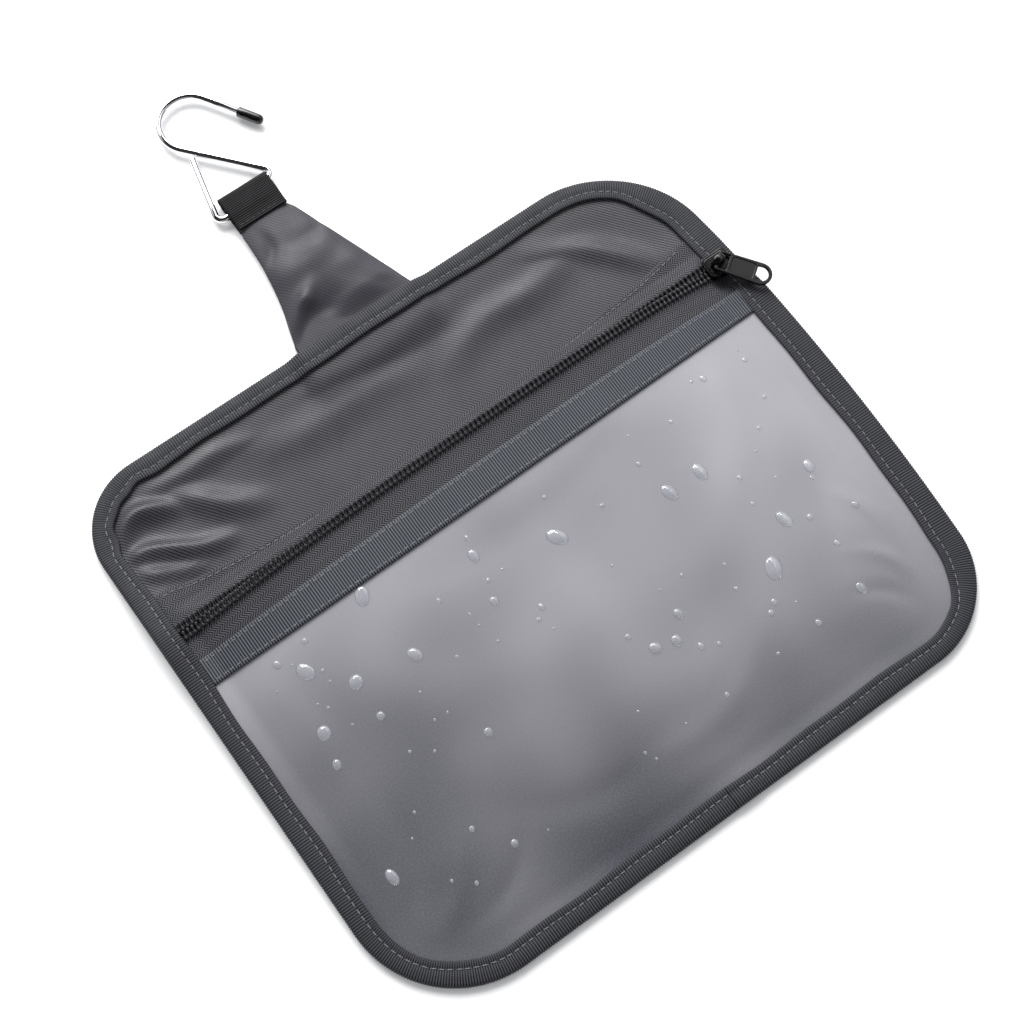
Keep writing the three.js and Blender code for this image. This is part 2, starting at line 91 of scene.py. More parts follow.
SLIDER_LOW, SLIDER_HIGH = box_mm("slider_body")
SLIDER_Y = (SLIDER_LOW[1] + SLIDER_HIGH[1]) / 2
TAB_PIVOT = np.array(joint("tab_flip")["pos_m"]) / MM
TAB_AXIS = np.array(joint("tab_flip")["axis"])
ZIP_LEAN = joint("zip")["axis"][1] / joint("zip")["axis"][0]
STRAP_HINGE_Y = joint("strap_fold")["pos_m"][1] / MM
HOOK_BAR = np.array(joint("hook_swing")["pos_m"]) / MM
HOOK_TURN = math.atan2(joint("hook_swing")["axis"][1], joint("hook_swing")["axis"][0])
LOOP_LOW, LOOP_HIGH = box_mm("webbing_loop")

COIL_WIDE = 2.8
COIL_GAP = 0.3                     # from the line where the coils meet to either coil
RIM_Y = 11.3 - HALF_H              # where the window leaves the hem at the bottom
RIM_Z = 2.2
BACK_RIM_Z, BACK_FLAT_Z = 1.7, 0.85    # the back panel's upper face at the hem and where it lies flat
ZIP_Z = 5.7                        # height of the tapes at the zipper
TILT = (ZIP_Z - RIM_Z) / (SLIDER_Y - RIM_Y)
LIFT = 12.0                        # how far the open mouth arches up at its middle
MOUTH_MID, MOUTH_HALF = 1.0, 112.0
BAND_LOW, BAND_HIGH = 28.5, 39.0
BAND_BOW = 3.6


# ---- lines and slopes
def smooth(value):
    t = np.clip(value, 0, 1)
    return t * t * (3 - 2 * t)


def unit(vectors):
    return vectors / np.linalg.norm(vectors, axis=-1, keepdims=True)


def direction(angle):
    """The way, in x and y, at an angle or at each of some angles."""
    return np.stack((np.cos(angle), np.sin(angle)), -1)


def lengths(line):
    """How far along a line each of its points is."""
    return np.concatenate(([0], np.cumsum(np.linalg.norm(np.diff(line, axis=0), axis=1))))


def spots_at(places, along, line):
    """Points at some places of a line whose own points are at the places in along."""
    return np.column_stack([np.interp(places, along, values) for values in np.transpose(line)])


def relax(line, times):
    """Rounds the corners of a line and leaves its ends."""
    for _ in range(times):
        line[1:-1] = (line[:-2] + 2 * line[1:-1] + line[2:]) / 4
    return line


# ---- the pouch's outline and heights
def bow_at(y):
    return BOW * (1 - (y / HALF_H) ** 2)


def corner_arc(sign_x, sign_y, radius, start):
    middle = (sign_x * (HALF_W - radius), sign_y * (HALF_H - radius))
    arc = middle + radius * direction(np.radians(np.linspace(start, start - 90, 60)))
    if sign_x > 0:
        arc[:, 0] += bow_at(arc[:, 1])
    return arc


def outline(count):
    """Evenly spaced points round the pouch's edge, clockwise from the binding's lap on the bottom side, with
    their inward normals, and the length of the whole edge."""
    side_y = np.linspace(HALF_H - CORNERS["top_right"], CORNERS["bottom_right"] - HALF_H, 40)[1:-1]
    start = np.array([[LAP_X, -HALF_H]])
    loop = np.vstack((
        start,
        corner_arc(-1, -1, CORNERS["bottom_left"], -90),
        corner_arc(-1, 1, CORNERS["top_left"], 180),
        corner_arc(1, 1, CORNERS["top_right"], 90),
        np.column_stack((HALF_W + bow_at(side_y), side_y)),
        corner_arc(1, -1, CORNERS["bottom_right"], 0),
        start,
    ))
    along = lengths(loop)
    points = spots_at(np.linspace(0, along[-1], count, endpoint=False), along, loop)
    tangent = unit(np.roll(points, -3, 0) - np.roll(points, 3, 0))
    return points, np.column_stack((tangent[:, 1], -tangent[:, 0])), along[-1]


def inset_of(x, y):
    """How far inside the pouch's edge a point is."""
    x = x - bow_at(y) * np.clip(x / HALF_W, 0, 1)
    radius = np.where(
        y > 0,
        np.where(x > 0, CORNERS["top_right"], CORNERS["top_left"]),
        np.where(x > 0, CORNERS["bottom_right"], CORNERS["bottom_left"]))
    over_x = np.abs(x) - HALF_W + radius
    over_y = np.abs(y) - HALF_H + radius
    outside = np.hypot(np.maximum(over_x, 0), np.maximum(over_y, 0))
    return radius - outside - np.minimum(np.maximum(over_x, over_y), 0)


def side_span(y, inset):
    """The left and right ends of a row at a height y, at an inset from the edge."""
    def reach(radius, sign):
        over = np.maximum(sign * y - HALF_H + radius, 0)
        return HALF_W - radius + np.sqrt(np.maximum((radius - inset) ** 2 - over ** 2, 0))
    low = y < 0
    left = np.where(low, reach(CORNERS["bottom_left"], -1), reach(CORNERS["top_left"], 1))
    right = np.where(low, reach(CORNERS["bottom_right"], -1), reach(CORNERS["top_right"], 1))
    return -left, right + bow_at(y)


def hem_lift(x, y):
    """How far the hem stands off the table: it climbs to the zipper's ends and over the strap's base."""
    climb = TILT * np.clip(y - RIM_Y, 0, SLIDER_Y - RIM_Y)
    left = climb * (1 - smooth((y - 56) / 40))
    right = climb * (1 - smooth((y - 35) / 12) * 0.83) * (1 - smooth((y - 58) / 20))
    over_strap = 2.0 * smooth((x + 31) / 8) * smooth((33 - x) / 8) * smooth((y - 84) / 10)
    return np.where(x < 0, left, right) + over_strap


def crown_at(x):
    u = np.clip(np.abs(x - MOUTH_MID) / MOUTH_HALF, 0, 1)
    return (1 - u * u) * (1 + u * u / 2)


def lean_at(x):
    return ZIP_LEAN * (x - TAB_PIVOT[0])


def band_low(x):
    return BAND_LOW + lean_at(x) - BAND_BOW * crown_at(x)


def band_high(x):
    return BAND_HIGH + lean_at(x) - 0.45 * BAND_BOW * crown_at(x)


def tape_edge(x):
    return SLIDER_Y - COIL_GAP - 0.5 + lean_at(x)


def along_and_across(x, y, middle, angle):
    """Places in a frame that is turned by an angle about a middle."""
    way = direction(angle)
    x, y = x - middle[0], y - middle[1]
    return x * way[0] + y * way[1], y * way[0] - x * way[1]


def ridge(x, y, middle, angle, length, width, height):
    """One long soft crease; a negative height makes a furrow."""
    along, across = along_and_across(x, y, middle, math.radians(angle))
    across = across - along * along / (4 * length)
    return height * np.exp(-(along / length) ** 2 - (across / width) ** 2)


# Soft folds: middle, direction in degrees, length, width and height; below zero is a furrow.
FILM_CREASES = (
    ((-88, -80), 48, 20, 4.5, 1.1), ((-96, -66), 62, 22, 4.0, -0.8), ((-72, -88), 30, 18, 3.5, -0.7),
    ((102, -74), 118, 11, 2.4, 0.8), ((93, -82), 138, 10, 2.4, -0.6), ((108, -58), 100, 12, 2.6, 0.8),
    ((100, -30), 84, 26, 6.0, -0.9), ((88, 0), 70, 24, 7.0, 0.8), ((20, -84), 12, 26, 5.0, 0.7),
    ((-30, -82), -8, 24, 5.0, -0.6), ((-98, -20), 80, 28, 6.0, 0.7), ((50, -50), 24, 40, 11.0, -0.7),
    ((-40, -30), -18, 44, 13.0, 0.7), ((8, 8), 6, 50, 8.0, -0.5),
)


def front_z(x, y):
    """Height of the clear front, its band and the lower half of the zipper."""
    share = np.clip((y - RIM_Y) / (BAND_LOW - RIM_Y), 0, 1)
    rise = (1 - (1 - share) ** 1.9) * smooth((inset_of(x, y) - 8.5) / 9)
    height = RIM_Z + TILT * np.maximum(y - RIM_Y, 0) + LIFT * crown_at(x) * np.where(y > BAND_LOW, 1, rise)
    slack = smooth((inset_of(x, y) - 10) / 16) * (1 - smooth((y - 10) / 18))
    return height + slack * sum(ridge(x, y, *fold) for fold in FILM_CREASES)


def crease(x, y, path, width, height):
    """A soft ridge along a bent line that dies away towards both its ends."""
    shares = np.linspace(0, 1, 48)
    spots = relax(spots_at(shares, np.linspace(0, 1, len(path)), path), 30)
    away = (x[..., None] - spots[:, 0]) ** 2 + (y[..., None] - spots[:, 1]) ** 2
    fade = np.sin(np.pi * (0.06 + 0.88 * shares)) ** 0.8
    return height * np.max(np.exp(-away / width ** 2) * fade, -1)


# Bent creases: the line that each follows, its width and its height.
BACK_CREASES = (
    (((-119, 85), (-112, 93), (-105, 95.5), (-98, 93), (-91, 89)), 3.4, 4.2),
    (((-119, 82), (-109, 81.5), (-101, 77), (-93, 71.5), (-82, 69)), 2.9, 3.6),
    (((-118, 77), (-112, 72), (-105, 69), (-95, 66)), 2.4, 2.2),
    (((-90, 93), (-83, 87), (-77, 80), (-66, 74)), 4.5, 2.8),
    (((-96, 100), (-84, 98), (-70, 99), (-52, 94)), 3.6, 1.3),
    (((-62, 92), (-40, 86), (-14, 88), (8, 84)), 7.0, 1.4),
    (((20, 78), (40, 86), (62, 84), (82, 90)), 6.0, 1.8),
    (((70, 96), (86, 88), (97, 76), (106, 66)), 4.5, 2.0),
    (((-30, 98), (0, 95), (30, 98)), 4.0, 0.8),
)


def back_top(x, y):
    """Height of the upper face of the back panel."""
    rim = BACK_RIM_Z + hem_lift(x, y)
    x, y = np.asarray(x, float), np.asarray(y, float)
    inset = inset_of(x, y)
    creases = np.max([crease(x, y, *fold) for fold in BACK_CREASES], 0)
    inner = BACK_FLAT_Z + smooth((inset - 7) / 6) * creases
    return inner + (rim - BACK_FLAT_Z) * smooth((25 - inset) / 15)


# ---- making meshes
def link(name, data):
    thing = bpy.data.objects.new(name, data)
    bpy.context.scene.collection.objects.link(thing)
    return thing


def smooth_mesh(name, points, faces):
    """A mesh with smooth shading, from points in metres."""
    mesh = bpy.data.meshes.new(name)
    mesh.from_pydata(points, [], faces)
    mesh.polygons.foreach_set("use_smooth", np.ones(len(mesh.polygons), bool))
    mesh.update()
    return mesh


def make_object(name, points, faces, corner_uv=None):
    mesh = smooth_mesh(name, (np.asarray(points, float).reshape(-1, 3) * MM).tolist(), faces)
    if corner_uv is not None:
        layer = mesh.uv_layers.new(name=WEAVE)
        layer.data.foreach_set("uv", np.asarray(corner_uv, np.float32).ravel())
    return link(name, mesh)


def grid_object(name, points, u, v, closed_rows=False, closed_columns=False):
    """A surface through rows of points. u and v are the fabric's millimetres at each row and column, with
    one more of either where the surface closes on itself."""
    rows, columns = points.shape[:2]
    i, j = np.meshgrid(
        np.arange(rows if closed_rows else rows - 1),
        np.arange(columns if closed_columns else columns - 1), indexing="ij")
    i, j = i.ravel(), j.ravel()
    steps = ((0, 0), (0, 1), (1, 1), (1, 0))
    faces = np.column_stack([((i + a) % rows) * columns + (j + b) % columns for a, b in steps])
    if np.ndim(u) == 1:
        u = np.repeat(np.asarray(u, float)[:, None], columns + closed_columns, 1)
    if np.ndim(v) == 1:
        v = np.repeat(np.asarray(v, float)[None, :], rows + closed_rows, 0)
    corner_uv = np.stack([np.column_stack((u[i + a, j + b], v[i + a, j + b])) for a, b in steps], 1)
    return make_object(name, points, faces.tolist(), corner_uv)


def draped(name, x, y, z, slant=0):
    """A surface over a grid of x and y. Its weave is laid out flat below it, less a slant in y."""
    return grid_object(name, np.stack((x, y, z), 2), x, y - slant)


def straight_seam(x, y, z, count):
    return np.column_stack((np.linspace(*x, count), np.full(count, y), np.full(count, z)))


def thicken(piece, low, high):
    """Gives a bare surface a thickness from low to high above it. It stays a modifier, so that a surface that
    flattens keeps its thickness."""
    shell = piece.modifiers.new("thickness", "SOLIDIFY")
    shell.thickness = (high - low) * MM
    shell.offset = 2 * high / (high - low) - 1
    return piece


def soften(piece, levels):
    rounding = piece.modifiers.new("rounding", "SUBSURF")
    rounding.levels = levels
    rounding.render_levels = levels
    return piece


def patches(name, outlines):
    """Many small flat patches in one surface. Each outline lists, from end to end, left and right points."""
    points, faces, corner_uv = [], [], []
    for pairs in outlines:
        for row, pair in enumerate(pairs):
            if row:
                a = len(points)
                faces.append((a - 2, a - 1, a + 1, a))
                corner_uv += [(0, row - 1), (1, row - 1), (1, row), (0, row)]
            points.extend(pair)
    return make_object(name, points, faces, corner_uv)


STITCH_SHARES = np.array([0, 0.2, 0.5, 0.8, 1])              # places along a stitch
STITCH_SHAPE = np.array([0.45, 0.95, 1, 0.95, 0.45])         # and its share of the full width there


def stitches(name, seam, pitch, length, wide, low, high):
    """A row of separate thread stitches along a seam given as points, lying flat on it."""
    along = lengths(seam)
    outlines = []
    for n in range(int(along[-1] // pitch)):
        start = n * pitch + (pitch - length) / 2 + RNG.uniform(-0.08, 0.08) * pitch
        spots = spots_at(start + length * STITCH_SHARES, along, seam)
        side = unit(np.cross((0, 0, 1), spots[-1] - spots[0]))
        turn = RNG.uniform(-0.06, 0.06) * length
        middles = spots + side * turn * (STITCH_SHARES - 0.5)[:, None]
        half = side * wide / 2 * STITCH_SHAPE[:, None]
        outlines.append(np.stack((middles + half, middles - half), 1))
    return soften(thicken(patches(name, outlines), low, high), 1)


def flatten(piece):
    """Gives the piece its own copy of its mesh."""
    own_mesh(piece)
    return piece


# ---- materials
class Paint:
    """A material and short ways to add nodes to it."""

    def __init__(self, name):
        self.material = bpy.data.materials.new(name)
        self.material.use_nodes = True
        self.tree = self.material.node_tree
        self.shader = self.tree.nodes["Principled BSDF"]
        self.output = self.tree.nodes["Material Output"]

    def node(self, kind, settings=None, **inputs):
        node = self.tree.nodes.new("ShaderNode" + kind)
        for key, value in (settings or {}).items():
            setattr(node, key, value)
        for key, value in inputs.items():
            self.put(node.inputs[key.replace("_", " ")], value)
        return node

    def put(self, socket, value):
        if isinstance(value, bpy.types.NodeSocket):
            self.tree.links.new(value, socket)
        else:
            socket.default_value = value

    def set(self, **inputs):
        for key, value in inputs.items():
            self.put(self.shader.inputs[key.replace("_", " ")], value)
        return self

    def weave_map(self):
        return self.node("UVMap", {"uv_map": WEAVE}).outputs[0]

    def object_map(self):
        return self.node("TexCoord").outputs["Object"]

    def math(self, operation, first, second):
        node = self.node("Math", {"operation": operation})
        self.put(node.inputs[0], first)
        self.put(node.inputs[1], second)
        return node.outputs[0]

    def total(self, *weighted):
        """The sum of some values, each given with its weight."""
        total, *others = (self.math("MULTIPLY", value, weight) for value, weight in weighted)
        for other in others:
            total = self.math("ADD", total, other)
        return total

    def turned(self, vector, degrees, stretch=(1, 1, 1)):
        """The fabric's millimetres, turned and then stretched."""
        turn = self.node("Mapping", {"vector_type": "POINT"}, Vector=vector)
        turn.inputs["Rotation"].default_value = (0, 0, math.radians(degrees))
        scale = self.node("VectorMath", {"operation": "MULTIPLY"})
        self.put(scale.inputs[0], turn.outputs[0])
        scale.inputs[1].default_value = stretch
        return scale.outputs[0]

    def bands(self, vector, pitch, distortion=0.0, detail_scale=1.0):
        """Threads side by side along the vector's X, from 0 to 1."""
        wave = self.node("TexWave", {"wave_type": "BANDS", "bands_direction": "X", "wave_profile": "SIN"},
                         Vector=vector, Scale=math.pi / 10 / pitch, Distortion=distortion, Detail=1.0,
                         Detail_Scale=detail_scale)
        return wave.outputs["Fac"]

    def noise(self, vector, scale, detail=3.0, roughness=0.55):
        cloud = self.node("TexNoise", Vector=vector, Scale=scale, Detail=detail, Roughness=roughness)
        return cloud.outputs["Fac"]

    def between(self, value, low, high, out_low=0.0, out_high=1.0):
        node = self.node("MapRange", {"clamp": True}, Value=value)
        for socket, number in zip(node.inputs[1:5], (low, high, out_low, out_high)):
            socket.default_value = number
        return node.outputs[0]

    def mix(self, share, first, second, blend="MIX"):
        node = self.node("Mix", {"data_type": "RGBA", "blend_type": blend})
        self.put(node.inputs["Factor"], share)
        colours = [s for s in node.inputs if s.type == "RGBA"]
        self.put(colours[0], first)
        self.put(colours[1], second)
        return next(s for s in node.outputs if s.type == "RGBA")

    def bump(self, height, depth_mm, strength=1.0):
        node = self.node("Bump", Height=height, Distance=depth_mm * MM, Strength=strength)
        self.put(self.shader.inputs["Normal"], node.outputs[0])
        return self


def rgb(*shown):
    """A colour given as its display values, 0 to 255."""
    shares = (value / 255 for value in shown)
    return (*(v / 12.92 if v < 0.04045 else ((v + 0.055) / 1.055) ** 2.4 for v in shares), 1.0)


def scaled(colour, factor):
    return (*(min(c * factor, 1) for c in colour[:3]), 1)


def fabric(name, dark, light, height, depth_mm, roughness, sheen, patch=0.2, crisp=0.0):
    """Colour and relief from one weave height: the weave's hollows are painted darker and its raised threads
    lighter, a painted shade and light of its relief; with slow patches of wear and a few lighter fibres.
    """
    paint = Paint(name)
    relief = height(paint)
    uv = paint.weave_map()
    # painted shade: the colour runs from dark in the weave's hollows to light on its raised threads, and
    # crisp sharpens that painted contrast
    colour = paint.mix(paint.between(relief, crisp, 1 - crisp), dark, light)
    wear = paint.mix(paint.noise(uv, 0.045, 4), (*[1 - patch] * 3, 1), (*[1 + patch] * 3, 1))
    colour = paint.mix(1.0, colour, wear, "MULTIPLY")
    fibres = paint.between(paint.noise(uv, 2.1, 2, 0.8), 0.62, 0.8, 0, 0.35)
    colour = paint.mix(fibres, colour, scaled(light, 1.6))
    rough = paint.between(paint.noise(uv, 0.12, 3), 0.3, 0.7, roughness - 0.07, roughness + 0.07)
    paint.set(Base_Color=colour, Roughness=rough, Sheen_Weight=sheen, Sheen_Roughness=0.4,
              Specular_IOR_Level=0.27)
    return paint.bump(relief, depth_mm).material


def twill(pitch, degrees, fuzz_share=0.23):
    """Diagonal ribs, each a run of separate floats."""
    def height(paint):
        uv = paint.weave_map()
        ribs = paint.bands(paint.turned(uv, degrees), pitch, 0.35, 0.4)
        floats = paint.bands(paint.turned(uv, degrees + 62), pitch * 0.62, 0.3, 0.6)
        fuzz = paint.noise(uv, 3.2, 2)
        return paint.total((ribs, 0.78 - fuzz_share), (floats, 0.22), (fuzz, fuzz_share))
    return height


def ribbed(pitch, along=0.0, cross_pitch=0.55, fuzz_share=0.25):
    """Grosgrain ribs with the fine warp threads that run over them."""
    def height(paint):
        uv = paint.weave_map()
        ribs = paint.bands(paint.turned(uv, along), pitch, 0.25, 0.3)
        warp = paint.bands(paint.turned(uv, along + 90), cross_pitch, 0.2, 0.5)
        fuzz = paint.noise(uv, 3.5, 2)
        return paint.total((ribs, 0.8 - fuzz_share), (warp, 0.2), (fuzz, fuzz_share))
    return height


def herringbone(pitch, column):
    """Twill that turns back in columns along the tape."""
    def height(paint):
        uv = paint.weave_map()
        along, across, _ = paint.node("SeparateXYZ", Vector=uv).outputs
        fold = paint.math("PINGPONG", across, column)
        turned = paint.node("CombineXYZ", X=paint.math("ADD", along, fold), Y=across).outputs[0]
        return paint.total((paint.bands(turned, pitch, 0.25, 0.5), 0.65), (paint.noise(uv, 3.0, 2), 0.35))
    return height


SCRATCHES = 0.3                    # how much rougher a hairline scratch is than its surface


def gloss(name, colour, roughness, metallic=0.0, grain=0.0, coat=0.0, specular=0.5):
    """Smooth hard surfaces: faint clouding, hairline scratches and handling marks."""
    paint = Paint(name)
    where = paint.object_map()
    cloud = paint.noise(where, 240, 4)
    lines = paint.turned(where, 24, (900, 5200, 900))
    hair = paint.between(paint.noise(lines, 1.0, 2), 0.56, 0.72)
    clouded = paint.between(cloud, 0.3, 0.7, roughness * 0.8, roughness * 1.25)
    rough = paint.math("ADD", clouded, paint.math("MULTIPLY", hair, SCRATCHES * roughness))
    paint.set(Base_Color=paint.mix(cloud, scaled(colour, 0.86), scaled(colour, 1.12)), Roughness=rough,
              Metallic=metallic, Coat_Weight=coat, Coat_Roughness=0.08, Specular_IOR_Level=specular)
    return paint.bump(paint.math("ADD", paint.noise(where, 1500, 2), hair), grain).material


def film():
    """Frosted film: milky, cloudy, finely pebbled, and it lets blurred light through; it is painted lighter
    towards its top and right, a painted reflection of the lights, and darker towards its bottom left.
    """
    paint = Paint("frosted_film")
    uv = paint.weave_map()
    cloud = paint.noise(uv, 0.0095, 2)
    fine = paint.noise(uv, 1.6, 3)
    along, up, _ = paint.node("SeparateXYZ", Vector=uv).outputs
    # painted reflection: this slope makes the film lighter towards its top and right, where it shows the
    # lights, and darker towards its bottom left; the cloud mixed in with it is random milkiness
    slope = paint.total((along, 0.35), (up, 1.0))
    milk_and_painted_light = paint.total((paint.between(cloud, 0.32, 0.68), 0.4), (paint.between(slope, -105, 60), 0.65))
    colour = paint.mix(milk_and_painted_light, rgb(52, 55, 67), rgb(206, 204, 211))
    colour = paint.mix(paint.between(fine, 0.4, 0.7, 0, 0.10), colour, rgb(225, 225, 230))
    paint.set(Base_Color=colour, Roughness=paint.between(cloud, 0.3, 0.7, 0.33, 0.44),
              Transmission_Weight=0.45, IOR=1.42, Specular_IOR_Level=0.45)
    return paint.bump(fine, 0.03, 0.35).material


def water():
    """Clear drops: what shows is their shine, with a faint pale body that is painted light standing in for
    the light the clear water gathers and refracts.
    """
    paint = Paint("water")
    # painted light: a pale grey body laid over the film at part alpha, standing in for light refracted
    # through the clear drops
    tint = paint.mix(paint.noise(paint.object_map(), 300, 2), rgb(176, 178, 188), rgb(204, 205, 212))
    return paint.set(Base_Color=tint, Roughness=0.05, Alpha=0.34, IOR=2.3, Coat_Weight=1.0,
                     Coat_Roughness=0.02).material


def thread_paint(name, dark, light):
    paint = Paint(name)
    strands = paint.bands(paint.turned(paint.weave_map(), 35), 0.5, 0.3)
    # painted shade: the thread is painted darker between its twisted strands and lighter on them, following
    # the bands of its bump
    paint.set(Base_Color=paint.mix(strands, dark, light), Roughness=0.6, Sheen_Weight=0.3)
    return paint.bump(strands, 0.05).material


def paper(name, scale, dark, light, roughness):
    """Plain paper or felt, in two close greys."""
    paint = Paint(name)
    grain = paint.noise(paint.object_map(), scale, 2)
    tint = paint.mix(grain, (*[dark] * 3, 1), (*[light] * 3, 1))
    return paint.set(Base_Color=tint, Roughness=roughness).material


# The spread between each fabric's and thread's dark and light colour is painted shade in its hollows and
# painted light on its raised threads.
MATERIALS = {
    "lining": fabric("lining_twill", rgb(26, 26, 30), rgb(78, 77, 83), twill(0.98, -38),
                     0.07, 0.42, 0.15, 0.2, 0.16),
    "strap": fabric("strap_twill", rgb(39, 38, 43), rgb(66, 64, 71), twill(1.05, -36, 0.42),
                    0.05, 0.48, 0.12, 0.08),
    "binding": fabric("binding_grosgrain", rgb(1, 1, 2), rgb(62, 63, 69), ribbed(0.95, fuzz_share=0.2),
                      0.12, 0.65, 0.04, 0.2, 0.29),
    "band": fabric("band_grosgrain", rgb(5, 6, 8), rgb(84, 88, 96), ribbed(1.0, fuzz_share=0.2),
                   0.12, 0.6, 0.06, 0.12, 0.29),
    "tape": fabric("zipper_tape_weave", rgb(4, 4, 6), rgb(74, 74, 80), herringbone(1.1, 1.7),
                   0.12, 0.65, 0.06, 0.2, 0.25),
    "webbing": fabric("loop_webbing", rgb(2, 2, 3), rgb(26, 25, 28), ribbed(0.95, 90, 0.8),
                      0.14, 0.7, 0.03, 0.2, 0.25),
    "thread": thread_paint("sewing_thread", rgb(68, 69, 75), rgb(136, 137, 144)),
    "dark_thread": thread_paint("dark_thread", rgb(20, 20, 22), rgb(50, 50, 54)),
    "coil": gloss("coil_nylon", rgb(40, 40, 44), 0.24, grain=0.005),
    "paint": gloss("slider_enamel", rgb(5, 5, 7), 0.17, grain=0.004, coat=0.1, specular=0.3),
    "chrome": gloss("hook_chrome", rgb(240, 240, 243), 0.06, metallic=1.0, grain=0.001),
    "vinyl": gloss("tip_vinyl", rgb(7, 7, 8), 0.22, grain=0.01, coat=0.3),
    "film": film(),
    "water": water(),
    "felt": paper("flag_felt", 30, 0.01, 0.02, 1.0),
    "floor": paper("floor_paper", 40, 0.90, 0.92, 0.9),
}


def dress(piece, material):
    piece.data.materials.clear()
    piece.data.materials.append(MATERIALS[material])
    return piece


# ---- camera, lights, floor
def add_camera():
    """Seventy millimetre lens, from the pouch's lower left, high above it."""
    azimuth, elevation, distance = math.radians(-35.7), math.radians(71), 0.7099
    aim = Vector((0.00446, 0.01869, 0))
    back = Vector((*math.cos(elevation) * direction(azimuth - math.pi / 2), math.sin(elevation)))
    camera = link("camera", bpy.data.cameras.new("camera"))
    camera.data.lens = 70
    camera.data.sensor_width = 36
    camera.location = aim + back * distance
    camera.rotation_euler = (-back).to_track_quat("-Z", "Y").to_euler()
    bpy.context.scene.camera = camera


def area_light(name, place, aim, size, power):
    light = link(name, bpy.data.lights.new(name, "AREA"))
    light.data.shape = "RECTANGLE"
    light.data.size, light.data.size_y = size
    light.data.energy = power
    light.location = place
    light.rotation_euler = (Vector(aim) - Vector(place)).to_track_quat("-Z", "Y").to_euler()


def card(name, x, y, z, material):
    """A rectangle between the ends of its ranges: level if z has one value, else upright."""
    level = z[0] == z[1]
    points = [(x[i], y[j if level else i], z[j]) for i, j in ((0, 0), (1, 0), (1, 1), (0, 1))]
    rectangle = make_object(name, points, [(0, 1, 2, 3)])
    rectangle.data.materials.append(MATERIALS[material])
    return rectangle


def add_studio():
    """A pale floor under two soft lights, among black flags that only shiny pieces reflect."""
    world = bpy.data.worlds.new("studio")
    world.use_nodes = True
    world.node_tree.nodes["Background"].inputs[0].default_value = (0.97, 0.98, 1, 1)
    world.node_tree.nodes["Background"].inputs[1].default_value = 0.6
    bpy.context.scene.world = world
    bpy.context.scene.view_settings.view_transform = "Standard"
    area_light("key", (0.40, 1.75, 1.45), (0, 0, 0), (1.9, 1.7), 92)
    area_light("overhead", (0.95, 0.5, 1.15), (0.1, 0, 0), (1.1, 1.1), 4.5)
    for name, x, y, z in (
            ("flag_above", (-1900, 430), (-720, 720), (760, 760)),
            ("flag_behind", (-1300, 1300), (2300, 2300), (40, 620)),
            ("flag_left", (-1950, -1950), (-1200, 1900), (20, 1000)),
            ("flag_right", (1900, 1900), (-1500, 1500), (20, 800)),
            ("flag_before", (-1400, 1400), (-1500, -1500), (20, 700))):
        flag = card(name, x, y, z, "felt")
        flag.visible_camera = False
        flag.visible_diffuse = False
        flag.visible_shadow = False
    floor = card("floor", (-3000, 3000), (-3000, 3000), (0, 0), "floor")
    floor.location.z = -0.0004


# ---- the pouch
def binding_width(x, y, places):
    """How far the tape's upper ply reaches in: widest at the right, wavy at the upper left."""
    width = 8.5 + 2.4 * smooth((x - 112) / 14) + 0.25 * np.sin(places / 13.0) + 0.2 * np.sin(places / 5.7 + 1)
    wavy = np.exp(-(((x + 104) / 26) ** 2 + ((y - 94) / 22) ** 2))
    return width + wavy * (0.9 * np.sin(places / 4.1) + 0.6 * np.sin(places / 2.3 + 2))


def hem_height(x, y, places, length):
    """The hem's own thickness: more where it swallows the zipper's left end, and where the tape laps."""
    zip_end = np.where(x < 0, 2.0 * np.exp(-((y - 46) / 13) ** 2), 0)
    return HEM_HIGH + zip_end + smooth((places - length + 11) / 1.5) * 0.6


RIB_STEPS = 3
RIBS = 920                         # ribs round the whole edge
RIB_PITCH, RIB_DEPTH = 0.95, 0.26
STITCH = 2.9                       # from one stitch to the next
RIM_POINTS, RIM_INWARD, RIM_LENGTH = outline(RIBS * RIB_STEPS)
RIM_PLACES = np.arange(RIBS * RIB_STEPS) * RIM_LENGTH / (RIBS * RIB_STEPS)
RIM_WIDTH = binding_width(*RIM_POINTS.T, RIM_PLACES)
RIM_LIFT = hem_lift(*RIM_POINTS.T)
RIM_TOP = hem_height(*RIM_POINTS.T, RIM_PLACES, RIM_LENGTH)
SEAM_INSET = 2.8                   # from the tape's inner edge to its stitches


